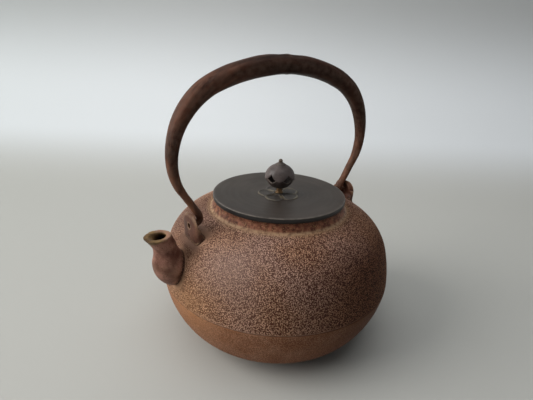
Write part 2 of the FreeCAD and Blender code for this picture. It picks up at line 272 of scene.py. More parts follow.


# %% [markdown]
# ## Iron of the body
# Dark lacquer stays in the valleys of the hail, while the crests are wiped and worn to tan. Painted shade
# darkens the side away from the window, a painted sheen lies on the lit side, and the iron is amber near the
# spout. Where each stain, shade and sheen lies is kept on the mesh, so one finish serves the whole belly.

# %% The hail-grained iron
hail_iron, tree, place = new_finish("hail_iron", specular=0.07)
relief = grouped(tree, hail_relief, grain_size=grain_size, seed=belly_seed)["Relief"]
cover = grouped(tree, patches, place=place, patch_size=32 * mm, seed=3.1)
grime = grouped(tree, wear, place=place, seed=1.0)["Grime"]
crest = blended(tree, cover["Patches"], (0.58, 0.335, 0.205), (0.59, 0.375, 0.285))
# Painted shade darkens crests and valleys on the side away from the window light.
crest = layered(tree, crest, ("amber", 1.0, (0.57, 0.315, 0.160)), ("right_side_shade", 1.0, (0.190, 0.075, 0.036)))
valley = blended(tree, cover["Patches"], (0.092, 0.035, 0.021), (0.106, 0.049, 0.036))
valley = layered(tree, valley, ("amber", 1.0, (0.190, 0.092, 0.044)), ("right_side_shade", 1.0, (0.015, 0.004, 0.0017)))
gold = math_node(tree, "MULTIPLY", stored(tree, "gilt"), spread(tree, relief, 0.25, 1.0))
iron = layered(
    tree, blended(tree, relief, valley, crest),
    # A painted highlight: a broad sheen on the lit side of the belly.
    ("painted_sheen", 1.0, (0.305, 0.210, 0.176)),
    (cover["Specks"], 0.3, (0.075, 0.036, 0.024)),
    ("boss", 1.0, (0.105, 0.055, 0.038)),
    (gold, 1.0, (0.46, 0.30, 0.165)),
    (grime, 0.8, (0.03, 0.016, 0.011)),
)
complete(hail_iron, place, iron, rough=(relief, 0.66, 0.48), bump=(0.5 * mm, 0.4, 0.1 * mm, 2.0))

# %% [markdown]
# The spout and the lugs are the same iron, with hail only at their roots: smooth, redder, with a dull
# lacquer sheen. Their edges are rubbed to ochre, and the spout's bore is ochre with old rust, with painted
# shade darkening it further in. The lugs, under the hot handle, are darker, so one function makes both
# finishes from two browns.


# %% The smooth iron
def smooth_finish(name, dark, light):
    material, tree, place = new_finish(name, specular=0.14)
    cover = grouped(tree, patches, place=place, patch_size=7 * mm, seed=7.4)
    rubbed = grouped(tree, wear, place=place, seed=4.0)
    relief = grouped(tree, hail_relief, grain_size=grain_size, seed=boss_seed)["Relief"]
    rust = blended(tree, cover["Patches"], (0.060, 0.032, 0.014), (0.24, 0.145, 0.060))
    iron = layered(
        tree, blended(tree, cover["Patches"], dark, light),
        (cover["Specks"], 0.75, (0.050, 0.020, 0.013)),
        (ranged(tree, relief, smooth_level, 1.0), 1.0, (0.300, 0.175, 0.100)),
        (ranged(tree, relief, smooth_level, 0.0), 1.0, (0.030, 0.013, 0.008)),
        (rubbed["Rubbed"], 0.75, (0.36, 0.225, 0.135)),
        (rubbed["Grime"], 0.8, (0.026, 0.014, 0.010)),
        ("bore", 1.0, rust),
        # Painted shade deep inside the spout's bore.
        ("depth", 1.0, (0.012, 0.008, 0.006)),
    )
    rough = (cover["Patches"], 0.42, 0.56)
    return complete(material, place, iron, rough, bump=(0.8 * mm, 0.7, 0.25 * mm, 5.0))


spout_iron = smooth_finish("spout_iron", (0.115, 0.043, 0.028), (0.335, 0.165, 0.120))
lug_iron = smooth_finish("lug_iron", (0.062, 0.024, 0.0145), (0.135, 0.059, 0.038))

# %% [markdown]
# Below the seam the bowl is plainer, with a fine sand texture and a darker brown, and the same painted shade
# on the side away from the window.

# %% The bowl's iron
bowl_iron, tree, place = new_finish("bowl_iron", specular=0.07)
relief = grouped(tree, hail_relief, grain_size=grain_size, seed=bowl_seed)["Relief"]
cover = grouped(tree, patches, place=place, patch_size=12 * mm, seed=11.0)
grime = grouped(tree, wear, place=place, seed=8.0)["Grime"]
valley = blended(tree, cover["Patches"], (0.152, 0.060, 0.030), (0.215, 0.099, 0.056))
crest = blended(tree, cover["Patches"], (0.350, 0.157, 0.080), (0.400, 0.207, 0.124))
iron = layered(
    tree, blended(tree, relief, valley, crest),
    ("amber", 0.8, (0.42, 0.20, 0.092)),
    # Painted shade on the side away from the window light.
    ("right_side_shade", 0.75, (0.046, 0.0155, 0.0066)),
    (cover["Specks"], 0.4, (0.040, 0.021, 0.015)),
    (grime, 0.85, (0.02, 0.011, 0.008)),
)
complete(bowl_iron, place, iron, rough=(relief, 0.62, 0.5), bump=(0.6 * mm, 0.6, 0.16 * mm, 9.0))

# %% [markdown]
# The collar carries the lid. It is speckled brown, and a narrow line at its foot is rubbed to a golden tan.

# %% The collar's iron
collar_iron, tree, place = new_finish("collar_iron", specular=0.15)
cover = grouped(tree, patches, place=place, patch_size=9 * mm, seed=15.0)
fine = grouped(tree, patches, place=place, patch_size=2.6 * mm, seed=16.0)["Patches"]
gold = math_node(tree, "MULTIPLY", stored(tree, "gilt"), spread(tree, fine, 0.35, 1.0))
iron = layered(
    tree, blended(tree, fine, (0.060, 0.0170, 0.0100), (0.280, 0.110, 0.064)),
    (cover["Patches"], 0.25, (0.130, 0.050, 0.027)),
    (cover["Specks"], 0.6, (0.42, 0.25, 0.115)),
    (gold, 1.0, (0.42, 0.28, 0.165)),
)
rough = (cover["Specks"], 0.5, 0.64)
complete(collar_iron, place, iron, rough, bump=(0.5 * mm, 0.8, 0.2 * mm, 13.0))

# %% [markdown]
# ## The hail relief
# Real hail is stamped dot by dot. Here a node tree does it with the hail pattern. The valleys are pressed
# in, so no grain stands outside the body's true size, and square to the skin, in a direction that the mesh
# keeps, so that neighbouring rings still meet. A mask on the mesh keeps the grain away from the spout,
# lugs, collar and seam.


# %% The relief tree
def shape_tree(name, inputs):
    sockets = {"Geometry": "Geometry", **inputs, "Finish": "Material"}
    return new_tree("GeometryNodeTree", name, sockets, {"Geometry": "Geometry"})


def kept(tree, name, kind):
    """A value that the mesh keeps under a name, for a geometry tree."""
    return add(tree, "GeometryNodeInputNamedAttribute", {"Name": name}, data_type=kind).outputs[0]


def pressed(tree, geometry, direction, amount):
    inputs = {"Geometry": geometry, "Offset": scaled(tree, direction, amount)}
    return add(tree, "GeometryNodeSetPosition", inputs).outputs[0]


def end_tree(tree, geometry, given, result):
    """Copies become plain geometry, because the export drops copies, and the geometry gets its finish."""
    plain = add(tree, "GeometryNodeRealizeInstances", {"Geometry": geometry}).outputs[0]
    dressed = add(tree, "GeometryNodeSetMaterial", {"Geometry": plain, "Material": given["Finish"]})
    fill(tree, result, {"Geometry": dressed.outputs[0]})
    print("geometry tree:", tree.name)


hail_skin, given, result = shape_tree(
    "hail_skin", {"Grain Size": grain_size, "Grain Depth": 0.0003, "Seed": 0.0}
)
position = add(hail_skin, "GeometryNodeInputPosition").outputs[0]
crests = hail_cells(hail_skin, position, given["Grain Size"], given["Seed"])
relief = masked_hail(hail_skin, crests, kept(hail_skin, "grain", "FLOAT"))
below_crest = math_node(hail_skin, "SUBTRACT", relief, 1.0)
below_crest = math_node(hail_skin, "MULTIPLY", below_crest, given["Grain Depth"])
remembered = add(
    hail_skin, "GeometryNodeStoreNamedAttribute",
    {"Geometry": given["Geometry"], "Name": "unpressed", "Value": position},
    data_type="FLOAT_VECTOR", domain="POINT",
).outputs[0]
stamped = pressed(hail_skin, remembered, kept(hail_skin, "out", "FLOAT_VECTOR"), below_crest)
end_tree(hail_skin, stamped, given, result)

# %% [markdown]
# ## Meshes from rows of rings
# Most pieces of the kettle are turned or cast, so a mesh is often a sheet of rows and columns that closes
# on itself. One function makes such a sheet from an array of points, with its ends closed by a point or
# joined.


# %% Helpers for meshes
def placed(name, data):
    """An object at the origin, in the scene."""
    thing = bpy.data.objects.new(name, data)
    bpy.context.scene.collection.objects.link(thing)
    return thing


def mesh_object(name, points, faces):
    mesh = bpy.data.meshes.new(name)
    mesh.from_pydata([tuple(point) for point in points], [], faces)
    mesh.shade_smooth()
    return placed(name, mesh)


def sheet_faces(rows, columns, closed_rows=False):
    """Quads of a sheet whose columns close into rings."""
    faces = []
    for row in range(rows if closed_rows else rows - 1):
        here, above = row * columns, (row + 1) % rows * columns
        for column in range(columns):
            beside = (column + 1) % columns
            faces.append((here + column, here + beside, above + beside, above + column))
    return faces


def closed_sheet(name, points):
    """A mesh from rows of rings, whose last row meets its first."""
    rows, columns = points.shape[:2]
    return mesh_object(name, points.reshape(-1, 3), sheet_faces(rows, columns, closed_rows=True))


# %% Helpers for turned bodies
def ring_angles(columns):
    return np.linspace(0, 2 * math.pi, columns, endpoint=False)


def round_points(radius, turn, height):
    """Points from a radius and a turn about Z, and a height."""
    return np.stack(np.broadcast_arrays(radius * np.cos(turn), radius * np.sin(turn), height), axis=-1)


def turned(name, profile, columns, closed=True, ripple=None):
    """A body turned about Z from a profile of radius and height; a closed profile makes a ring."""
    profile = np.array(profile)
    angles = ring_angles(columns)
    radius = profile[:, :1]
    if ripple is not None:
        radius = radius + ripple(profile, angles)
    points = round_points(radius, angles, profile[:, 1:])
    if closed:
        return closed_sheet(name, points)
    faces = sheet_faces(len(profile), columns)
    first, last = len(profile) * columns, len(profile) * columns + 1
    top = first - columns
    for column in range(columns):
        beside = (column + 1) % columns
        faces.append((first, beside, column))
        faces.append((last, top + column, top + beside))
    ends = [(0, 0, profile[0, 1]), (0, 0, profile[-1, 1])]
    return mesh_object(name, np.concatenate([points.reshape(-1, 3), ends]), faces)


# %% [markdown]
# Some shapes and stains are easiest to work out as arrays of numbers, one row per vertex. These calls read
# a mesh into arrays, move it, and keep a number per vertex on it.


# %% Helpers for vertices
def read(items, field, size=3, kind=float):
    values = np.empty(size * len(items), dtype=kind)
    items.foreach_get(field, values)
    return values.reshape(-1, size)


def vertex_places(piece):
    return read(piece.data.vertices, "co")


def vertex_normals(piece):
    return read(piece.data.vertex_normals, "vector")


def edge_ends(piece):
    return read(piece.data.edges, "vertices", 2, np.int64)


def axis_distance(places):
    return np.hypot(places[:, 0], places[:, 1])


def move_vertices(piece, places):
    piece.data.vertices.foreach_set("co", places.ravel())
    piece.data.update()


def store(piece, name, values):
    """Keeps a number or a vector per vertex on the mesh, for the node trees and the finishes to read."""
    values = np.asarray(values, dtype=np.float32)
    kind, field = ("FLOAT", "value") if values.ndim == 1 else ("FLOAT_VECTOR", "vector")
    attribute = piece.data.attributes.get(name) or piece.data.attributes.new(name, kind, "POINT")
    attribute.data.foreach_set(field, values.ravel())


def eased(low, high, value):
    """0 up to low, 1 from high on, and smooth between."""
    share = np.clip((value - low) / (high - low), 0, 1)
    return share * share * (3 - 2 * share)


# %% [markdown]
# A piece leaves its modifiers behind: the evaluated mesh is copied and takes the place of the first one.
# Then the piece gets its finish in a material slot and the body that it moves with, and the node of the
# model that it stands for is hidden.


# %% Helpers for finished pieces
def finished(piece, tree=None, **values):
    """The piece as a plain mesh, with its modifiers and a node tree worked in; values go into the tree."""
    if tree is not None:
        modifier = piece.modifiers.new(tree.name, "NODES")
        modifier.node_group = tree
        named = titled(values)
        for item in tree.interface.items_tree:
            if item.in_out == "INPUT" and item.name in named:
                modifier[item.identifier] = named[item.name]
    depsgraph = bpy.context.evaluated_depsgraph_get()
    mesh = bpy.data.meshes.new_from_object(piece.evaluated_get(depsgraph), depsgraph=depsgraph)
    mesh.name = piece.name
    mesh.shade_smooth()
    piece.modifiers.clear()
    piece.data = mesh
    return piece


def dress(piece, body, material, node):
    """Gives a piece its finish and the body that it rides on, and hides the model's node that it stands for.
    """
    piece.data.materials.clear()
    piece.data.materials.append(material)
    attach(piece, body)
    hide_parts(node)
    print(f"{piece.name}: {len(piece.data.polygons)} faces on {body}")


# %% [markdown]
# ## The body's outline
# The casting is a flattened round form. Its outline is four arcs: two below the seam, from the base out to
# the widest line, and two above it, in to the neck. Two arcs that run smoothly into each other follow from
# their ends, their directions there and one length, so the outline needs only a few sizes.


# %% Two arcs from end to end
def heading(degrees):
    return np.array([math.cos(math.radians(degrees)), math.sin(math.radians(degrees))])


def arc_middle(point, along, through):
    square = np.array([-along[1], along[0]])
    chord = through - point
    return point + square * (chord @ chord) / (2 * chord @ square)


def arc_points(centre, start, end, count):
    first, last = start - centre, end - centre
    turn = math.atan2(first[0] * last[1] - first[1] * last[0], first @ last)
    angles = math.atan2(first[1], first[0]) + turn * np.linspace(0, 1, count)
    return centre + np.linalg.norm(first) * np.stack([np.cos(angles), np.sin(angles)], axis=-1)


def outline(start, along, end, arriving, reach, count):
    """Points of two arcs that run on from start to end, evenly spaced."""
    span = end - start
    lead = span @ span - 2 * reach * span @ arriving
    lead /= 2 * (span @ along + reach * (1 - along @ arriving))
    share = lead / (lead + reach)
    join = (start + along * lead) * (1 - share) + (end - arriving * reach) * share
    dense = 400
    first = arc_points(arc_middle(start, along, join), start, join, dense)
    second = arc_points(arc_middle(end, arriving, join), join, end, dense)
    points = np.concatenate([first, second[1:]])
    steps = np.linalg.norm(np.diff(points, axis=0), axis=1)
    gone = np.concatenate([[0], np.cumsum(steps)])
    even = np.linspace(0, gone[-1], count)
    return np.stack([np.interp(even, gone, points[:, axis]) for axis in (0, 1)], axis=-1)


# %% Sizes of the body
seam = np.array([85.0, 46.0]) * mm
base = np.array([52.0, 0.0]) * mm
neck = np.array([49.6, 94.7]) * mm
wall = 3.0 * mm
bowl_reach = 15.77 * mm
belly_reach = 11.33 * mm
base_heading = heading(15)
neck_heading = heading(-4)
heading_below_seam = heading(84)
heading_above_seam = heading(-87)


def bowl_outline(count):
    """From the base's edge up to the seam."""
    return outline(base, base_heading, seam, heading_below_seam, bowl_reach, count)


def belly_outline(count):
    """From the seam up to the neck."""
    return outline(neck, neck_heading, seam, heading_above_seam, belly_reach, count)[::-1]


def outline_directions(profile):
    along = np.gradient(profile, axis=0)
    return along / np.linalg.norm(along, axis=1, keepdims=True)


def inset(profile, depth):
    """A profile moved in, square to itself."""
    along = outline_directions(profile)
    return profile + depth * np.stack([-along[:, 1], along[:, 0]], axis=-1)


outline_points = 200
skin = np.concatenate([bowl_outline(outline_points)[:-1], belly_outline(outline_points)])
print("outline points:", len(skin), "widest", skin[:, 0].max(), "top", skin[:, 1].max())

# %% [markdown]
# The grain is pressed square to the skin, and the spout and the lugs have to meet it. Both need to know how
# high a point lies above the skin, and which way is out there. The nearest point of the outline tells both.

# %% Height above the skin
skin_along = outline_directions(skin)
skin_out = np.stack([skin_along[:, 1], -skin_along[:, 0]], axis=-1)
batch = 20000


def above_skin(places):
    """Height of points above the body's outer skin, and the skin's direction outwards there."""
    radius = axis_distance(places)
    flat = np.stack([radius, places[:, 2]], axis=-1)
    nearest = np.empty(len(flat), dtype=np.int64)
    for start in range(0, len(flat), batch):
        part = flat[start:start + batch]
        gaps = ((part[:, None, :] - skin[None, :, :]) ** 2).sum(axis=-1)
        nearest[start:start + batch] = gaps.argmin(axis=1)
    out = skin_out[nearest]
    height = np.einsum("ij,ij->i", flat - skin[nearest], out)
    around = places[:, :2] / np.maximum(radius, 1e-9)[:, None]
    return height, np.concatenate([around * out[:, :1], out[:, 1:]], axis=1)


print("the seam lies", above_skin(np.array([[seam[0], 0, seam[1]]]))[0][0], "above the skin")

# %% [markdown]
# ## Where the spout and the lugs stand
# The hail stops short of the spout and the lugs, and the iron is darker beside the lugs. Simple forms stand
# in for them here: a line with a radius for the spout's bulb, and a flat block for each lug.

# %% Distances to the bosses
spout_foot = np.array([-83.1, 0, 55.2]) * mm
spout_waist = spout_foot + 31 * mm * np.array([-0.1822, 0, 0.9833])
spout_lip = np.array([-92.7, 0, 93.0]) * mm
bulb_start = 0.28
bulb_radius = 10.8 * mm
lug_face = 72.0 * mm
lug_back = 68.6 * mm
lug_half_width = 11.0 * mm
lug_root = 63.0 * mm
eye_height = 94.6 * mm


def from_line(places, corners):
    """Each point's vector from the nearest place on a line with corners."""
    best = np.full(len(places), np.inf)
    vectors = np.zeros_like(places)
    for start, end in zip(corners, corners[1:]):
        along = end - start
        share = np.clip((places - start) @ along / (along @ along), 0, 1)
        apart = places - start - share[:, None] * along
        length = np.linalg.norm(apart, axis=1)
        nearer = length < best
        best[nearer] = length[nearer]
        vectors[nearer] = apart[nearer]
    return vectors


def off_spout(places):
    low = spout_foot + (spout_waist - spout_foot) * bulb_start
    return np.linalg.norm(from_line(places, [low, spout_waist]), axis=1) - bulb_radius


def off_lugs(places):
    across = np.abs(places[:, 1]) - lug_half_width
    along = np.maximum(np.abs(places[:, 0]) - lug_face, lug_root - np.abs(places[:, 0]))
    return np.hypot(np.maximum(across, 0), np.maximum(along, 0)) + np.minimum(np.maximum(across, along), 0)


print("the spout is", np.linalg.norm(spout_lip - spout_foot), "long from foot to lip")

# %% [markdown]
# ## The upper body
# The casting above the seam is four closed rings, two of the belly and two of the shoulder, with a wall of
# the real thickness. Four meshes keep the grain fine enough. They share rows that are marked sharp, so no
# line shows. First come the stains and the painted shade and sheen: each cloud is a place, a reach and a
# strength, and each fading mask runs from one distance to another.

# %% Grain, stains and painted shade of the body
# A painted highlight: a broad sheen where the window light falls on the belly.
painted_sheen = (np.array([-62.5, -39.0, 81.0]) * mm, 19 * mm, 0.42)
amber = (np.array([-80.0, -15.0, 50.0]) * mm, 26 * mm, 0.8)
tarnish = (np.array([-58.0, 30.0, 90.0]) * mm, 32 * mm, 0.7)
clear_of_spout = (0.2 * mm, 2 * mm)
clear_of_lugs = (0.2 * mm, 3.5 * mm)
clear_of_neck = (0.3 * mm, 1.8 * mm)
clear_of_seam = (0.3 * mm, 1.2 * mm)
outside_only = (-1.2 * mm, -0.6 * mm)
groove_grime = (0.1 * mm, 0.5 * mm)
gilt_fade = (0.3 * mm, 5 * mm)
gilt_strength = 0.68
lug_shade_reach = 9 * mm
lug_shade = 0.85
# Painted shade: the side away from the window light is painted darker, less of it near the neck.
right_shade_way = np.array([0.82, -0.57])
right_shade_from, right_shade_full = -0.2 * seam[0], 0.75 * seam[0]
right_shade_strength = 0.95
right_shade_lost_at_neck = 0.55


def cloud(places, middle, size, strength):
    """A stain that is strongest at a place on the body and fades out round it."""
    return strength * np.exp(-(np.linalg.norm(places - middle, axis=1) / size) ** 2)


def grain_and_stains(piece):
    """Stores where the grain is, where the iron is amber or rubbed to gold, and where shade and a sheen are
    painted.
    """
    places = vertex_places(piece)
    lug_gap = off_lugs(places)
    neck_gap = np.hypot(axis_distance(places) - neck[0], places[:, 2] - neck[1])
    seam_gap = np.abs(places[:, 2] - seam[1])
    height, out = above_skin(places)
    store(piece, "out", out)
    mask = eased(*clear_of_spout, off_spout(places)) * eased(*clear_of_lugs, lug_gap)
    mask *= eased(*clear_of_neck, neck_gap) * eased(*clear_of_seam, seam_gap)
    store(piece, "grain", mask * eased(*outside_only, height))
    store(piece, "hollow", 1 - eased(*groove_grime, seam_gap))
    store(piece, "edge", np.zeros(len(places)))
    # The painted sheen of the lit side.
    store(piece, "painted_sheen", cloud(places, *painted_sheen))
    store(piece, "amber", cloud(places, *amber))
    store(piece, "gilt", gilt_strength * (1 - eased(*gilt_fade, neck_gap)))
    boss = eased(lug_back, lug_face, np.abs(places[:, 0])) * (1 - eased(0, lug_shade_reach, lug_gap))
    store(piece, "boss", np.maximum(lug_shade * boss, cloud(places, *tarnish)))
    # Painted shade on the side away from the window light, weaker near the neck.
    right_shade = right_shade_strength * eased(right_shade_from, right_shade_full, places[:, :2] @ right_shade_way)
    store(piece, "right_side_shade", right_shade * (1 - right_shade_lost_at_neck * eased(0.8 * neck[1], neck[1], places[:, 2])))


def grained(piece, depth, seed, finish):
    """Presses the hail into a piece of the body, and dresses it."""
    finished(piece, hail_skin, grain_size=grain_size, grain_depth=depth, seed=seed, finish=finish)
    dress(piece, "pot", finish, "kettle_body")


# %% Belly and shoulder
groove_depth = 0.4 * mm
groove_width = 0.5 * mm
grain_depth = 0.26 * mm
inner_steps = 3
band_columns = 1440
band_rows = 64
band_names = ("pot_belly_low", "pot_belly_high", "pot_shoulder_low", "pot_shoulder_high")


def seam_groove(profile):
    """The mould's halves leave a fine groove at the widest line."""
    off = np.abs(profile[:, 1] - seam[1])
    profile = profile.copy()
    profile[:, 0] -= groove_depth * np.exp(-(off / groove_width) ** 2)
    return profile


def wall_ring(name, outside, columns):
    """A ring as thick as the wall, with its outer end rows marked sharp."""
    inside = inset(outside, wall)[::-(len(outside) // inner_steps)]
    piece = turned(name, np.concatenate([outside, inside]), columns)
    rows = edge_ends(piece) // columns
    shared = (rows[:, 0] == rows[:, 1]) & np.isin(rows[:, 0], [0, len(outside) - 1])
    piece.data.attributes.new("sharp_edge", "BOOLEAN", "EDGE").data.foreach_set("value", shared)
    return piece


whole_side = belly_outline(len(band_names) * (band_rows - 1) + 1)
for number, name in enumerate(band_names):
    first = number * (band_rows - 1)
    band = wall_ring(name, seam_groove(whole_side[first:first + band_rows]), band_columns)
    grain_and_stains(band)
    grained(band, grain_depth, belly_seed, hail_iron)

# %% [markdown]
# ## The bowl
# Below the seam the wall runs in to a flat base. It is one closed skin: base, outside, seam and inside. The
# same relief tree gives it a much shallower grain.

# %% Bowl below the seam
sand_depth = 0.1 * mm
bowl_columns = 660
bowl_rows = 116
bowl_inner_rows = 24
middle_radius = 4 * mm
base_corner = 0.5 * mm
floor_corner = 3 * mm


def flat_rows(first, last, height, count):
    return np.stack([np.linspace(first, last, count), np.full(count, height)], axis=-1)


bowl_inside = inset(bowl_outline(bowl_inner_rows), wall)[::-1]
bowl_profile = np.concatenate([
    flat_rows(middle_radius, base[0] - base_corner, 0.0, 5),
    seam_groove(bowl_outline(bowl_rows)),
    bowl_inside,
    flat_rows(bowl_inside[-1, 0] - floor_corner, middle_radius, bowl_inside[-1, 1], 4),
])
bowl = turned("pot_bowl", bowl_profile, bowl_columns, closed=False)
grain_and_stains(bowl)
grained(bowl, sand_depth, bowl_seed, bowl_iron)

# %% [markdown]
# ## The collar
# A low ring stands round the mouth. Its side is slightly hollowed and its rim is flat for the lid. At its
# foot it runs out over the shoulder. It is turned from a profile with rounded corners, as the other turned
# pieces are.


# %% Collar round the mouth
def rounded(corners, closed=False, steps=5):
    """A profile of radius, height and rounding in millimetres, with each rounding as a short curve."""
    corners = np.array(corners, dtype=float) * mm
    points = []
    count = len(corners)
    for number in range(count):
        here, rounding = corners[number, :2], corners[number, 2]
        if rounding == 0 or (not closed and number in (0, count - 1)):
            points.append(here)
            continue
        before, after = corners[number - 1, :2], corners[(number + 1) % count, :2]
        first = here + (before - here) / np.linalg.norm(before - here) * rounding
        last = here + (after - here) / np.linalg.norm(after - here) * rounding
        for share in np.linspace(0, 1, steps):
            points.append((1 - share) ** 2 * first + 2 * share * (1 - share) * here + share ** 2 * last)
    return np.array(points)


collar_profile = rounded([
    (50.6, 94.0, 0), (50.2, 94.68, 0.4), (49.3, 95.2, 0.6), (48.2, 97.0, 0.9), (47.3, 99.0, 1.2),
    (47.0, 101.2, 0.5), (42.6, 101.2, 0.5), (42.6, 91.9, 0.4), (49.0, 91.8, 0),
], closed=True, steps=6)
collar_middle = 46 * mm
gold_line = (95.0 * mm, 96.6 * mm)
gold_strength = 0.85
collar = turned("pot_collar", collar_profile, 360)
places = vertex_places(collar)
outer_side = axis_distance(places) > collar_middle
store(collar, "gilt", gold_strength * (1 - eased(*gold_line, places[:, 2])) * outer_side)
dress(collar, "pot", collar_iron, "kettle_body")

# %% [markdown]
# ## Spout and lugs
# These grow out of the same casting, with soft hollows at their roots. The model's own shape is cut out
# with a box, turned into an even grid of small cells, and smoothed, which rounds edges and roots as casting
# does. The piece of wall that comes along is pressed under the belly's skin, so that only the boss shows.

# %% A boss of the casting
merge_distance = 1e-6


def smoothed_copy(name, node, cell, rounds, block=None):
    """A node's own shape on an even grid, smoothed; with a block, only what lies inside the block."""
    solid = bmesh.new()
    solid.from_mesh(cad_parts[node].data)
    bmesh.ops.remove_doubles(solid, verts=solid.verts, dist=merge_distance)
    mesh = bpy.data.meshes.new(name)
    solid.to_mesh(mesh)
    solid.free()
    piece = placed(name, mesh)
    if block is not None:
        cut = piece.modifiers.new("cut", "BOOLEAN")
        cut.operation, cut.solver, cut.object = "INTERSECT", "EXACT", block
    grid = piece.modifiers.new("grid", "REMESH")
    grid.mode, grid.voxel_size = "VOXEL", cell
    soft = piece.modifiers.new("soft", "SMOOTH")
    soft.factor, soft.iterations = 0.5, rounds
    return finished(piece)


def cast_boss(name, low, high, cell, rounds):
    """What the body has inside a box, whose corners are in millimetres."""
    corners = [(x, y, z) for x in (low[0], high[0]) for y in (low[1], high[1]) for z in (low[2], high[2])]
    sides = [(0, 1, 3, 2), (4, 6, 7, 5), (0, 4, 5, 1), (2, 3, 7, 6), (0, 2, 6, 4), (1, 5, 7, 3)]
    block = mesh_object("block", np.array(corners) * mm, sides)
    piece = smoothed_copy(name, "kettle_body", cell, rounds, block)
    bpy.data.objects.remove(block)
    return piece


# %% A boss on the body's skin
sink = 0.8 * mm
sink_fade = (0.1 * mm, 1.1 * mm)
deepest = -1.7 * mm
root_height = 0.4 * mm
root_strength = 0.8


def press_under_skin(piece):
    """Sinks what lies on the body's skin, and lifts what lies deep in its wall."""
    places = vertex_places(piece)
    height, out = above_skin(places)
    wanted = np.maximum(height - sink * (1 - eased(*sink_fade, height)), deepest)
    move_vertices(piece, places + out * (wanted - height)[:, None])


def root_grain(piece, reach, finish):
    """Lets the hail run a little way up a boss from the body's skin, and dresses it."""
    height, _ = above_skin(vertex_places(piece))
    store(piece, "out", vertex_normals(piece))
    store(piece, "grain", root_strength * (1 - eased(root_height, reach, height)))
    grained(piece, grain_depth, boss_seed, finish)


# %% [markdown]
# Worn edges and grimy hollows can be read from a mesh: where the neighbours of a vertex lie below it, the
# surface is an edge, and where they lie above, a hollow. Averaging each vertex with its neighbours a few
# times shows which.

# %% Edges and hollows of a mesh
least_mark = 0.15


def averager(piece):
    """A function that replaces each vertex's value by the mean of its neighbours' values."""
    first, second = edge_ends(piece).T
    count = len(piece.data.vertices)
    number = np.maximum(np.bincount(first, minlength=count) + np.bincount(second, minlength=count), 1)

    def averaged(values):
        if values.ndim == 2:
            return np.stack([averaged(values[:, axis]) for axis in range(values.shape[1])], axis=-1)
        total = np.bincount(first, values[second], count) + np.bincount(second, values[first], count)
        return total / number

    return averaged


def mark_edges(piece, reach, passes):
    """Stores edge and hollow, 0 to 1, from how far each vertex stands out of its smoothed surroundings."""
    averaged = averager(piece)
    places = smooth = vertex_places(piece)
    for _ in range(passes):
        smooth = averaged(smooth)
    stands = np.einsum("ij,ij->i", places - smooth, vertex_normals(piece))
    stands = averaged(averaged(stands))
    store(piece, "edge", eased(least_mark, 1.0, stands / reach))
    store(piece, "hollow", eased(least_mark, 1.0, -stands / reach))


# %% [markdown]
# The spout leans out and ends in a lip that is rolled inwards a little. A vertex belongs to the bore when
# its normal points towards the spout's middle line, so the roll and the rust need no second mesh.

# %% The spout
lip_depth = 3.5 * mm
lip_roll = 1.1 * mm
roll_place = 1.2 * mm
lip_face = (1.2 * mm, -0.2 * mm)
bore_shade = (1.5 * mm, 6 * mm)
spout_line = [spout_foot, spout_waist, spout_lip, spout_lip + (spout_lip - spout_waist)]
spout = cast_boss("spout", low=(-106, -17, 48), high=(-73.4, 17, 101), cell=0.4 * mm, rounds=9)
press_under_skin(spout)
places = vertex_places(spout)
outward = from_line(places, spout_line)
outward /= np.maximum(np.linalg.norm(outward, axis=1, keepdims=True), 1e-9)
bore = eased(0.1, 0.6, -np.einsum("ij,ij->i", outward, vertex_normals(spout)))
lip_way = (spout_lip - spout_waist) / np.linalg.norm(spout_lip - spout_waist)
below_lip = (spout_lip - places) @ lip_way
at_lip = np.exp(-((below_lip - roll_place) / lip_depth) ** 2)
move_vertices(spout, places - outward * (lip_roll * bore * at_lip)[:, None])
mark_edges(spout, 0.16 * mm, 14)
store(spout, "bore", np.maximum(bore, eased(*lip_face, below_lip)))
# Painted shade: the bore gets darker the deeper it goes.
store(spout, "depth", bore * eased(*bore_shade, below_lip))
root_grain(spout, 4.5 * mm, spout_iron)

# %% [markdown]
# The lugs are arched plates with a hole for the handle's hook. Their outer faces are slightly domed by hand
# work, with a small dimple under the eye. Their roots are smoothed more than their edges, because a mould
# rounds a root.

# %% The lugs
lug_box = (57.0, 73.3)
dome_drop = 0.9 * mm
dimple_height = eye_height - 6.5 * mm
dimple_size = 1.1 * mm
dimple_depth = 0.4 * mm
root_passes = 45


def soften(piece, where, passes):
    """Smooths a mesh where a number between 0 and 1 says so."""
    averaged = averager(piece)
    places = vertex_places(piece)
    for _ in range(passes):
        places = places + where[:, None] * (averaged(places) - places)
    move_vertices(piece, places)


def cast_lug(name, side):
    near, far = sorted(side * end for end in lug_box)
    piece = cast_boss(name, low=(near, -14, 74), high=(far, 14, 104), cell=0.35 * mm, rounds=5)
    height, _ = above_skin(vertex_places(piece))
    soften(piece, 1 - eased(1.5 * mm, 6 * mm, height), root_passes)
    press_under_skin(piece)
    places = vertex_places(piece)
    height, _ = above_skin(places)
    front = eased(lug_back, lug_face, np.abs(places[:, 0])) * eased(0.2 * mm, 2 * mm, height)
    places[:, 0] -= side * front * (dome_drop * (places[:, 1] / lug_half_width) ** 2)
    to_dimple = np.hypot(places[:, 1], places[:, 2] - dimple_height)
    places[:, 0] -= side * dimple_depth * front * np.exp(-(to_dimple / dimple_size) ** 2)
    move_vertices(piece, places)
    mark_edges(piece, 0.14 * mm, 10)
    store(piece, "bore", np.zeros(len(places)))
    store(piece, "depth", np.zeros(len(places)))
    root_grain(piece, 2 * mm, lug_iron)


cast_lug("lug_front", -1)
cast_lug("lug_rear", 1)
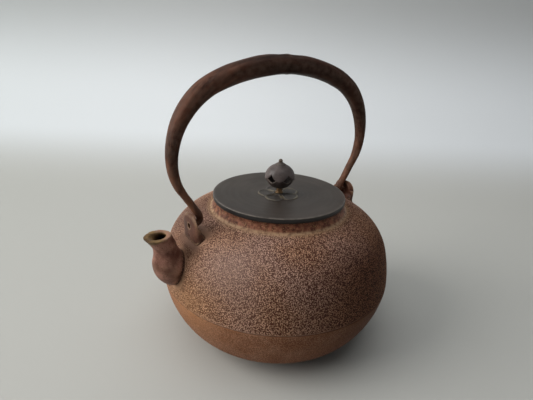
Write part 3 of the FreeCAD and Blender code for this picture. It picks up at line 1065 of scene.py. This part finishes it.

# %% [markdown]
# ## The handle
# The bail is forged: thick and oval at the grip, thin at the legs, with dark lacquer and reddish streaks
# along its length. The grip is darkest from the hand and from painted shade on the top and right of the bar,
# away from the window, and the legs are rusty. A vector that runs along the bar lets the streaks follow it
# round the bend.

# %% Lacquer of the handle
handle_lacquer, tree, place = new_finish("handle_lacquer", specular=0.045)
run = stored(tree, "run", "Vector")
streaks = grouped(tree, patches, place=run, patch_size=4.5 * mm, seed=21.0)
cover = grouped(tree, patches, place=place, patch_size=18 * mm, seed=22.0)
rubbed = grouped(tree, wear, place=place, seed=23.0)["Rubbed"]
rust = math_node(tree, "MULTIPLY", stored(tree, "rust"), spread(tree, streaks["Patches"], 0.25, 1.0))
lacquer = layered(
    tree, blended(tree, streaks["Patches"], (0.018, 0.0054, 0.0033), (0.165, 0.066, 0.040)),
    (cover["Patches"], 0.3, (0.040, 0.0145, 0.0090)),
    (streaks["Specks"], 0.6, (0.135, 0.052, 0.026)),
    # Darker from the hand, and painted shade on the top and right of the bar, away from the window.
    ("grip_and_shade", 0.75, (0.012, 0.0035, 0.0021)),
    (rust, 1.0, (0.200, 0.082, 0.042)),
    (rubbed, 0.4, (0.16, 0.105, 0.08)),
)
rough = (streaks["Patches"], 0.34, 0.46)
complete(handle_lacquer, run, lacquer, rough, bump=(0.9 * mm, 0.7, 0.25 * mm, 24.0))

# %% [markdown]
# A hammer leaves shallow marks that are longer along the bar than across it. A node tree presses them in
# with a noise that follows the bar, together with one deeper nick.

# %% The forging marks
forge_marks, given, result = shape_tree(
    "forge_marks", {"Mark Size": 0.006, "Mark Depth": 0.0004, "Seed": 0.0}
)
normal = add(forge_marks, "GeometryNodeInputNormal").outputs[0]
mark_scale = math_node(forge_marks, "DIVIDE", 1.0, given["Mark Size"])
marks = noise(forge_marks, kept(forge_marks, "run", "FLOAT_VECTOR"), mark_scale, given["Seed"], detail=1.0)
marks = math_node(forge_marks, "MULTIPLY", ranged(forge_marks, marks, 0.62, 0.36), given["Mark Depth"])
marks = math_node(forge_marks, "ADD", marks, kept(forge_marks, "nick", "FLOAT"))
hammered = pressed(forge_marks, given["Geometry"], normal, math_node(forge_marks, "MULTIPLY", marks, -1.0))
end_tree(forge_marks, hammered, given, result)

# %% [markdown]
# The bar itself is the model's own shape on an even grid, so that the marks have vertices to move.

# %% The handle's bar
arch_centre = np.array([0, 0, 115]) * mm
arch_radius = 84 * mm
streak_stretch = 0.14
nick_place = np.array([-57.1, -6.0, 185.2]) * mm
nick_size = 2.6 * mm
nick_depth = 0.5 * mm
nick_middle = nick_place + np.array([1.6, 0, -1.2]) * mm
leg_top = 150 * mm
rusty_leg = (leg_top - 45 * mm, leg_top)
grip_shade_start = (-60 * mm, -25 * mm)
grip_shade_heights = (leg_top - 15 * mm, leg_top + 25 * mm)

bar = smoothed_copy("handle_bar", "handle", cell=0.5 * mm, rounds=5)
places = vertex_places(bar)
off_centre = places - arch_centre
along = np.arctan2(off_centre[:, 0], off_centre[:, 2]) * arch_radius
reach = np.hypot(off_centre[:, 0], off_centre[:, 2])
store(bar, "run", np.stack([along * streak_stretch, reach, places[:, 1]], axis=-1))
to_nick = np.linalg.norm(places - nick_place, axis=1) / nick_size
crescent = np.linalg.norm(places - nick_middle, axis=1) / nick_size
store(bar, "nick", nick_depth * (1 - eased(0.3, 1, to_nick)) * eased(0.4, 0.9, crescent))
store(bar, "rust", 1 - eased(*rusty_leg, places[:, 2]))
# Wear from the hand and painted shade: the top and right of the bar, away from the window.
store(bar, "grip_and_shade", eased(*grip_shade_start, places[:, 0]) * eased(*grip_shade_heights, places[:, 2]))
mark_edges(bar, 0.2 * mm, 20)
finished(bar, forge_marks, mark_size=5.5 * mm, mark_depth=0.32 * mm, seed=2.4, finish=handle_lacquer)
dress(bar, "bail", handle_lacquer, "handle")

# %% [markdown]
# ## The lid
# The lid is a bronze plate, turned, with a dark patina and a rounded edge that is painted pale: a painted
# highlight, broken up like rubbed wear. Turning and wiping leave faint rings, so the finish reads
# coordinates that run round the axis.

# %% Patina of the lid
lid_patina, tree, place = new_finish("lid_patina", specular=0.4)
turning = stored(tree, "turning", "Vector")
cover = grouped(tree, patches, place=place, patch_size=20 * mm, seed=31.0)
tool_lines = grouped(tree, patches, place=turning, patch_size=3.5 * mm, seed=32.0)["Patches"]
rubbed = grouped(tree, wear, place=place, seed=33.0)
bare = math_node(tree, "MULTIPLY", rubbed["Rubbed"], 0.6)
patina = layered(
    tree, blended(tree, cover["Patches"], (0.027, 0.0190, 0.0142), (0.045, 0.0335, 0.0262)),
    (tool_lines, 0.12, (0.057, 0.046, 0.039)),
    (cover["Specks"], 0.35, (0.030, 0.024, 0.020)),
    # On the lid the rubbed mask is the painted highlight along the rim, broken up like wear.
    (rubbed["Rubbed"], 0.7, (0.23, 0.20, 0.175)),
    (rubbed["Grime"], 0.7, (0.016, 0.013, 0.011)),
    # Painted shade on the lid's side under its edge.
    ("side", 1.0, (0.012, 0.011, 0.011)),
)
rough = (tool_lines, 0.44, 0.49)
complete(lid_patina, turning, patina, rough, bump=(1.2 * mm, 0.35, 0.12 * mm, 34.0), metallic=bare)

# %% [markdown]
# The plate has a shallow dish, and a ring below that drops into the mouth. A turned piece is its profile
# swung round the axis, as on a lathe. Its side, under the edge, is painted dark as shade.

# %% The lid's plate
lid_edge = np.array([47.9, 104.75]) * mm
rim_highlight = 0.4 * mm
dish_radius = 46 * mm
dish_floor = 103 * mm
side_shade_fade = (104.0 * mm, 104.5 * mm)
turn_stretch = 4 * mm
lid_profile = rounded([
    (2.16, 101.4, 0), (39.6, 101.4, 0.8), (39.6, 94.7, 0.5), (42.0, 94.7, 0.6), (42.0, 101.2, 0.3),
    (47.9, 101.2, 0.5), (48.2, 102.4, 0.6), (48.2, 104.8, 0.65), (45.2, 104.75, 0.9), (40.0, 104.55, 1.5),
    (30.0, 104.1, 3), (17.1, 103.6, 1.5), (9.0, 103.6, 0), (2.16, 103.6, 0),
], closed=True, steps=7)
lid_plate = turned("lid_plate", lid_profile, 360)
places = vertex_places(lid_plate)
radius, height = axis_distance(places), places[:, 2]
turn = np.abs(np.arctan2(places[:, 1], places[:, 0]))
store(lid_plate, "turning", np.stack([turn * turn_stretch, radius, height], axis=-1))
to_edge = np.hypot(radius - lid_edge[0], height - lid_edge[1])
# A painted highlight: a pale line along the rounded rim, which the wear group breaks up.
store(lid_plate, "edge", np.exp(-(to_edge / rim_highlight) ** 2))
store(lid_plate, "hollow", np.zeros(len(places)))
dish = (radius < dish_radius) & (height > dish_floor)
# Painted shade on the side under the edge.
store(lid_plate, "side", (1 - eased(*side_shade_fade, height)) * ~dish)
dress(lid_plate, "cover", lid_patina, "lid")

# %% [markdown]
# ## The flower under the knob
# A thin plate of five round petals lies in the lid's dish. Each petal has a raised edge that keeps a yellow
# shine, round a dark middle. The height of the edge is kept on the mesh, so that the shine follows it
# exactly.

# %% Patina of the flower
flower_patina, tree, place = new_finish("flower_patina")
cover = grouped(tree, patches, place=place, patch_size=6 * mm, seed=41.0)["Patches"]
ridge = math_node(tree, "MULTIPLY", stored(tree, "ridge"), ranged(tree, cover, 0.1, 0.9, 0.1, 1.0))
patina = blended(tree, cover, (0.030, 0.024, 0.020), (0.062, 0.052, 0.044))
patina = layered(tree, patina, (ridge, 1.0, (0.16, 0.130, 0.082)))
bare = math_node(tree, "MULTIPLY", ridge, 0.3)
rough = (ridge, 0.55, 0.36)
complete(flower_patina, place, patina, rough, bump=(0.8 * mm, 0.4, 0.12 * mm, 42.0), metallic=bare)

# %% [markdown]
# The plate is a sheet in rings about the stem's hole, whose outer ring follows the petals. How far a point
# lies from the petals' edge gives the ridge, and a low boss rises round the hole, where the stem's shoulder
# stands.

# %% The flower plate
petal_count = 5
sector = 2 * math.pi / petal_count
flower_turn = math.radians(-146)
flower_petal = 7.6 * mm
flower_reach = 8.0 * mm
flower_columns = 360
flower_rows = 44
row_crowding = 0.8
stem_hole = 2.16 * mm
flower_under = 103.6 * mm
flower_top = 104.6 * mm
flower_sheet = 0.1 * mm
ridge_rise = 0.42 * mm
ridge_place = 0.7 * mm
ridge_width = 0.75 * mm
boss_fade = (3 * mm, 5.5 * mm)


def off_petal(angles, first_turn):
    """How far each angle is turned from the middle of the nearest petal."""
    return (angles - first_turn + sector / 2) % sector - sector / 2


angles = ring_angles(flower_columns)
off = off_petal(angles, flower_turn)
edge_radius = flower_reach * np.cos(off) + np.sqrt(flower_petal ** 2 - (flower_reach * np.sin(off)) ** 2)
shares = np.linspace(0, 1, flower_rows)[:, None] ** row_crowding
radius = stem_hole + (edge_radius - stem_hole) * shares
from_middle = np.hypot(radius * np.cos(off) - flower_reach, radius * np.sin(off))
to_edge = np.minimum(flower_petal - from_middle, radius * np.sin(sector / 2 - np.abs(off)))
ridge = np.exp(-((to_edge - ridge_place) / ridge_width) ** 2)
top = flower_under + flower_sheet + ridge_rise * ridge * eased(-0.1 * mm, 0.6 * mm, to_edge)
top += (flower_top - flower_sheet - flower_under) * (1 - eased(*boss_fade, radius))
top = np.minimum(top, flower_top)
under_radius = np.stack([np.full(flower_columns, stem_hole), edge_radius])
under_points = round_points(under_radius, angles, flower_under)
flower = closed_sheet("seat_flower", np.concatenate([under_points, round_points(radius, angles, top)[::-1]]))
store(flower, "ridge", np.concatenate([np.zeros((2, flower_columns)), ridge[::-1]]).ravel())
dress(flower, "cover", flower_patina, "knob_seat")

# %% [markdown]
# ## The knob
# The knob is a hollow bud: five thick petals come down from a small cap over a cup, and between them are
# windows. Its petal tips are bright from fingers and from a painted highlight, and the cup in the windows is
# painted dark as shade, with grime.

# %% Patina of the bud
bud_patina, tree, place = new_finish("bud_patina", specular=0.35)
cover = grouped(tree, patches, place=place, patch_size=7 * mm, seed=51.0)
rubbed = grouped(tree, wear, place=place, seed=52.0)
bare = math_node(tree, "MULTIPLY", rubbed["Rubbed"], 0.6)
patina = layered(
    tree, blended(tree, cover["Patches"], (0.054, 0.040, 0.036), (0.118, 0.091, 0.084)),
    (cover["Specks"], 0.4, (0.040, 0.026, 0.019)),
    (rubbed["Rubbed"], 0.8, (0.27, 0.22, 0.18)),
    (rubbed["Grime"], 0.85, (0.022, 0.011, 0.008)),
)
rough = (cover["Patches"], 0.38, 0.5)
complete(bud_patina, place, patina, rough, bump=(0.9 * mm, 0.4, 0.15 * mm, 53.0), metallic=bare)

# %% [markdown]
# One petal is modelled, and a node tree sets five of them round the stem: a point for each petal, all on
# the axis, and a copy of the petal on each point, turned by its share of a full turn.

# %% Petals round the stem
petal_ring, given, result = shape_tree("petal_ring", {"Petals": petal_count, "First Turn": 0.0})
spots = add(petal_ring, "GeometryNodePoints", {"Count": given["Petals"]}).outputs[0]
number = add(petal_ring, "GeometryNodeInputIndex").outputs[0]
step = math_node(petal_ring, "DIVIDE", 2 * math.pi, given["Petals"])
turn = math_node(petal_ring, "MULTIPLY_ADD", number, step, given["First Turn"])
rotation = add(petal_ring, "ShaderNodeCombineXYZ", {"Z": turn}).outputs[0]
copies = {"Points": spots, "Instance": given["Geometry"], "Rotation": rotation}
end_tree(petal_ring, add(petal_ring, "GeometryNodeInstanceOnPoints", copies).outputs[0], given, result)

# %% [markdown]
# The bud's form is egg-round. A petal is a pad between two grids of points over that form: straight-sided
# above, half round below, highest along its middle, with a slight lip at its tip. Subdivision then rounds
# its edges.

# %% The bud's form
bud_middle = 116.9 * mm
bud_radius = 10.75 * mm
bud_half_height = 9.4 * mm


def egg_radius(height, depth=0.0):
    """The radius of the form at a height, or of a smaller form that lies deeper."""
    share = np.clip((height - bud_middle) / (bud_half_height - depth), -1, 1)
    return (bud_radius - depth) * np.sqrt(np.maximum(1 - share ** 2, 0))


def egg_point(turn, height, lift):
    """A point over the form, moved out along its normal."""
    radius = egg_radius(height)
    out = radius / bud_radius ** 2
    up = (height - bud_middle) / bud_half_height ** 2
    length = np.hypot(out, up)
    return round_points(radius + lift * out / length, turn, height + lift * up / length)


def pad(name, outside, inside):
    """A closed pad between two grids of points."""
    rows, across = outside.shape[:2]
    count = rows * across
    faces = []
    for row in range(rows - 1):
        for column in range(across - 1):
            here = row * across + column
            quad = (here, here + 1, here + across + 1, here + across)
            faces.append(quad)
            faces.append(tuple(count + corner for corner in reversed(quad)))
    rim = list(range(across))
    rim += [row * across + across - 1 for row in range(1, rows)]
    rim += [(rows - 1) * across + column for column in range(across - 2, -1, -1)]
    rim += [row * across for row in range(rows - 2, 0, -1)]
    for here, after in zip(rim, rim[1:] + rim[:1]):
        faces.append((here, count + here, count + after, after))
    piece = mesh_object(name, np.concatenate([outside.reshape(-1, 3), inside.reshape(-1, 3)]), faces)
    solid = bmesh.new()
    solid.from_mesh(piece.data)
    bmesh.ops.recalc_face_normals(solid, faces=solid.faces)
    solid.to_mesh(piece.data)
    solid.free()
    return piece


print("the bud is", 2 * egg_radius(bud_middle), "wide")

# %% The bud's petals
bud_turn = math.radians(-128)
bud_wall = 1.5 * mm
cap_foot = 125.82 * mm
petal_round = 6.36 * mm
petal_middle = bud_middle - 1.2 * mm + petal_round
petal_overlap = math.radians(4)
tip_turn = math.radians(86)
tip_rise = 0.28 * mm
petal_rise = 0.1 * mm
edge_drop = 0.12
lobe_drop = 0.3
tip_highlight = 0.7

upper = np.linspace(cap_foot - 0.05 * mm, petal_middle, 12)[:-1]
lower = petal_middle - petal_round * np.sin(np.linspace(0, tip_turn, 18))
heights = np.concatenate([upper, lower])
half_width = np.sqrt(np.maximum(petal_round ** 2 - np.minimum(heights - petal_middle, 0) ** 2, 0))
half_turn = np.arcsin(np.clip(half_width / egg_radius(heights), 0, 1))
half_turn = np.minimum(half_turn, sector / 2 + petal_overlap)
across = np.linspace(-1, 1, 19)
turns = half_turn[:, None] * across
levels = np.repeat(heights[:, None], len(across), axis=1)
tip_lip = tip_rise * (1 - eased(0, 2 * mm, levels - heights[-1]))
lobed = 1 - eased(bud_middle - 1 * mm, petal_middle - 1 * mm, levels)
crown = petal_rise - (edge_drop + lobe_drop * lobed) * mm * np.abs(across) ** 3 + tip_lip
petal = pad("bud_petals", egg_point(turns, levels, crown), egg_point(turns, levels, crown - bud_wall))
soft = petal.modifiers.new("soft", "SUBSURF")
soft.levels = soft.render_levels = 1
finished(petal)
mark_edges(petal, 0.12 * mm, 5)
# The pale edge is kept at the petal tips only: wear from fingers, and a painted highlight.
highlight_tips = 1 - eased(bud_middle - 0.5 * mm, bud_middle + 2 * mm, vertex_places(petal)[:, 2])
edges = read(petal.data.attributes["edge"].data, "value", 1, np.float32)[:, 0]
store(petal, "edge", tip_highlight * edges * highlight_tips)
finished(petal, petal_ring, petals=petal_count, first_turn=bud_turn, finish=bud_patina)
dress(petal, "knob", bud_patina, "knob_bud")

# %% [markdown]
# The cup under the petals is a thin shell. Its edge dips to a V in each window and rises behind each petal,
# so the rows of its sheet are spread between its foot and an edge that waves round the stem.

# %% The bud's cup
cup_inset = 0.5 * mm
cup_wall = 1.2 * mm
cup_columns = 200
cup_rows = 22
cup_high = -0.4
window_dip = 2.9
cup_foot = bud_middle - bud_half_height + 0.95 * mm
least_radius = 1.2 * mm
cup_shade = 0.85

angles = ring_angles(cup_columns)
off = np.abs(off_petal(angles, bud_turn)) / (sector / 2)
cup_edge = bud_middle + (cup_high - window_dip * eased(0.1, 1.15, off)) * mm
outer_height = cup_foot + (cup_edge - cup_foot) * np.sin(np.linspace(0, math.pi / 2, cup_rows))[:, None]
inner_height = outer_height[::-1] + 0.2 * mm
inner_height[-1] += cup_wall


def cup_points(height, depth):
    return round_points(np.maximum(egg_radius(height, depth), least_radius), angles, height)


cup_outside = cup_points(outer_height, cup_inset)
cup_sheet = np.concatenate([cup_outside, cup_points(inner_height, cup_inset + cup_wall)])
cup = closed_sheet("bud_cup", cup_sheet)
at_edge = np.zeros((len(cup_sheet), cup_columns))
at_edge[cup_rows - 2:cup_rows + 1] = 1
store(cup, "edge", at_edge.ravel())
# Painted shade, with grime: the cup seen through the windows is darkened, except at its edge.
store(cup, "hollow", cup_shade * (1 - at_edge.ravel()))
dress(cup, "knob", bud_patina, "knob_bud")

# %% [markdown]
# A small cap closes the bud. Its rim is notched like a rope, and the round nub on top is browner and rubbed
# to a slight shine.

# %% Patina of the cap
cap_patina, tree, place = new_finish("cap_patina")
cover = grouped(tree, patches, place=place, patch_size=2 * mm, seed=61.0)["Patches"]
patina = blended(tree, cover, (0.045, 0.033, 0.026), (0.085, 0.062, 0.048))
patina = layered(tree, patina, ("nub", 1.0, (0.080, 0.054, 0.034)))
bare = math_node(tree, "MULTIPLY", stored(tree, "nub"), 0.3)
rough = (cover, 0.36, 0.5)
complete(cap_patina, place, patina, rough, bump=(0.5 * mm, 0.3, 0.08 * mm, 62.0), metallic=bare)

# %% The cap and its nub
rope_turns = 20
rope_height = 125.9 * mm
rope_width = 0.35 * mm
rope_depth = 0.16 * mm
rope_least_radius = 2.6 * mm
nub_height = 128.4
nub_radius = 1.5


def rope(profile, angles):
    on_rim = np.exp(-((profile[:, 1:] - rope_height) / rope_width) ** 2)
    on_rim = on_rim * (profile[:, :1] > rope_least_radius)
    return rope_depth * on_rim * np.cos(rope_turns * angles)


nub_turns = np.linspace(-0.5, 1.45, 12)
cap_profile = rounded([
    (0.4, 125.5, 0), (3.5, 125.5, 0.2), (3.95, 125.6, 0.15), (3.5, 126.3, 0.4), (2.5, 126.8, 0.5),
    (1.45, 127.6, 0.5),
    *((nub_radius * math.cos(turn), nub_height + nub_radius * math.sin(turn), 0) for turn in nub_turns),
], steps=6)
cap = turned("bud_cap", cap_profile, 160, closed=False, ripple=rope)
store(cap, "nub", eased(126.9 * mm, nub_height * mm, vertex_places(cap)[:, 2]))
dress(cap, "knob", cap_patina, "knob_calyx")

# %% [markdown]
# The stem is a copper pin. It stands on the flower with a shoulder, carries the bud, goes down through the
# lid, and its end is hammered out over a washer. The washer is hidden under the lid, so the model's own
# mesh only gets the copper.

# %% Copper of the stem
stem_copper, tree, place = new_finish("stem_copper", metallic=1.0)
cover = grouped(tree, patches, place=place, patch_size=2.5 * mm, seed=71.0)
copper = blended(tree, cover["Patches"], (0.14, 0.084, 0.042), (0.30, 0.195, 0.105))
copper = layered(tree, copper, (cover["Specks"], 0.5, (0.09, 0.045, 0.028)))
rough = (cover["Patches"], 0.46, 0.34)
complete(stem_copper, place, copper, rough, bump=(0.5 * mm, 0.3, 0.06 * mm, 72.0))

# %% Stem and washer
stem_profile = rounded([
    (0.3, 99.0, 0), (1.9, 99.0, 0.3), (3.2, 100.0, 0.3), (2.1, 100.12, 0.1), (2.1, 104.62, 0.1),
    (3.0, 104.62, 0.15), (3.0, 105.35, 0.3), (2.15, 105.55, 0.25), (2.05, 107.0, 0.5), (2.1, 125.8, 0.1),
    (0.3, 125.8, 0),
])
stem = turned("knob_pin", stem_profile, 96, closed=False)
dress(stem, "knob", stem_copper, "knob_stem")
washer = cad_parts["stem_washer"]
washer.data.materials.clear()
washer.data.materials.append(stem_copper)

# %% [markdown]
# ## Floor, light and camera
# A pale floor runs up into a pale wall without a corner, as a sheet of paper does in a studio. The sheet
# follows the view, so its sizes are given along the camera's own directions.

# %% The sweep of floor and wall
view_right = np.array([0.81575, -0.57697, 0.04078])
view_up = np.array([0.18326, 0.32469, 0.9279])
view_forward = np.array([0.54861, 0.74946, -0.3706])
away = view_forward[:2] / np.linalg.norm(view_forward[:2])
beside = np.array([away[1], -away[0]])
floor_front = -6.0
sweep_start = 0.2
sweep_radius = 0.5
wall_top = 1.8
half_breadth = 4.0
bend = np.linspace(0, math.pi / 2, 33)
wall_depth = sweep_start + sweep_radius
depth = np.concatenate([[floor_front, -0.8, 0], sweep_start + sweep_radius * np.sin(bend), [wall_depth]])
height = np.concatenate([[0, 0, 0], sweep_radius * (1 - np.cos(bend)), [wall_top]])
points = []
for far, tall in zip(depth, height):
    for side in (-half_breadth, half_breadth):
        points.append((*(away * far + beside * side), tall))
quads = [(2 * row, 2 * row + 1, 2 * row + 3, 2 * row + 2) for row in range(len(depth) - 1)]
sweep = mesh_object("studio_sweep", points, quads)
print("sweep:", len(quads), "strips")

# %% [markdown]
# The paper's colour is painted light and shade: grey on the floor, brighter where it bends, and grey again
# up the wall. It is darker on the left, painted shade which evens out the light of the window there. Far
# from the kettle, and in the world behind it, the room looks pale to the camera and in reflections, but it
# sends little light of its own, so that the shadows keep their depth.

# %% The paper's finish
pale_room = (0.50, 0.515, 0.515)
far_sides = (1.1, 2.2)
far_front = (-0.5, -2.2)


def seen_directly(tree):
    """1 for what the camera sees by itself or in a reflection, 0 for the light that falls on the kettle."""
    paths = add(tree, "ShaderNodeLightPath").outputs
    seen = math_node(tree, "ADD", paths["Is Camera Ray"], paths["Is Glossy Ray"])
    return math_node(tree, "ADD", seen, paths["Is Transmission Ray"], use_clamp=True)


def distance_along(tree, place, way):
    inputs = {0: place, 1: (*way, 0)}
    return add(tree, "ShaderNodeVectorMath", inputs, operation="DOT_PRODUCT").outputs["Value"]


paper, tree, place = new_finish("studio_paper", specular=0.2)
tall = add(tree, "ShaderNodeSeparateXYZ", {0: place}).outputs[2]
sideways = distance_along(tree, place, beside)
# Painted light and shade: the floor and the top of the wall are painted darker than the bend.
paper_colour = blended(tree, ranged(tree, tall, 0.0, 0.06), (0.495, 0.495, 0.465), (0.76, 0.79, 0.81))
paper_colour = blended(tree, ranged(tree, tall, 0.1, 0.34), paper_colour, (0.43, 0.442, 0.44))
# Painted shade on the left, against the window's light.
painted_left_shade = blended(tree, ranged(tree, sideways, -0.8, 0.0), (0.70, 0.715, 0.71), (1, 1, 1))
far = ranged(tree, distance_along(tree, place, away), *far_front)
far = math_node(tree, "MAXIMUM", far, ranged(tree, math_node(tree, "ABSOLUTE", sideways), *far_sides))
far = math_node(tree, "MULTIPLY", far, seen_directly(tree))
fill(tree, tree.nodes["Principled BSDF"], {
    "Base Color": blended(tree, 1.0, paper_colour, painted_left_shade, mode="MULTIPLY"), "Roughness": 0.7,
    "Emission Color": blended(tree, far, (0, 0, 0), pale_room), "Emission Strength": 1.0,
})
sweep.data.materials.append(paper)
print("finish:", paper.name)

# %% [markdown]
# A large soft light stands at the left of the camera like a window, and a second one hangs above like a
# pale ceiling. Large lights give the soft edges that the shadows have by a window.

# %% Soft light from the left
window_place = -view_right * 1.5 - np.array([*away, 0]) * 0.25 + np.array([0, 0, 0.95])
ceiling_place = (-0.1, 0.1, 1.5)
dim_room = (0.093, 0.096, 0.1)


def soft_light(name, place, aim, breadth, power, tint):
    lamp = bpy.data.lights.new(name, "AREA")
    lamp.shape, lamp.size, lamp.energy, lamp.color = "DISK", breadth, power, tint
    holder = placed(name, lamp)
    holder.location = place
    holder.rotation_euler = (Vector(aim) - Vector(place)).to_track_quat("-Z", "Y").to_euler()
    print(f"{name}: {power} W, {breadth} m wide")


soft_light("window_left", window_place, aim=(0, 0, 0.08), breadth=1.5, power=30.0, tint=(1.0, 0.985, 0.96))
soft_light("ceiling", ceiling_place, aim=(0, 0, 0), breadth=1.9, power=12.0, tint=(0.97, 0.985, 1.0))
world = bpy.data.worlds.new("pale_room")
bpy.context.scene.world = world
world.use_nodes = True
tree = world.node_tree
fill(tree, tree.nodes["Background"], {"Color": blended(tree, seen_directly(tree), dim_room, pale_room)})

# %% [markdown]
# The camera stands where the photograph was taken from: its place, its directions and its lens were fitted
# to the photograph. A lens is a length in front of a sensor, so pixels become millimetres by the sensor's
# width.

# %% Camera at the photograph's angle
focal_pixels = 370
picture_width = 533
camera_place = Vector((-0.15828, -0.20109, 0.19991))
lens = bpy.data.cameras.new("view")
lens.sensor_fit = "HORIZONTAL"
lens.sensor_width = 36
lens.lens = focal_pixels / picture_width * lens.sensor_width
lens.clip_start = 0.01
camera = placed("view", lens)
axes = Matrix((view_right, view_up, -view_forward)).transposed().to_4x4()
camera.matrix_world = Matrix.Translation(camera_place) @ axes
bpy.context.scene.camera = camera
bpy.context.scene.view_settings.view_transform = "Standard"
print("lens:", lens.lens, "mm")
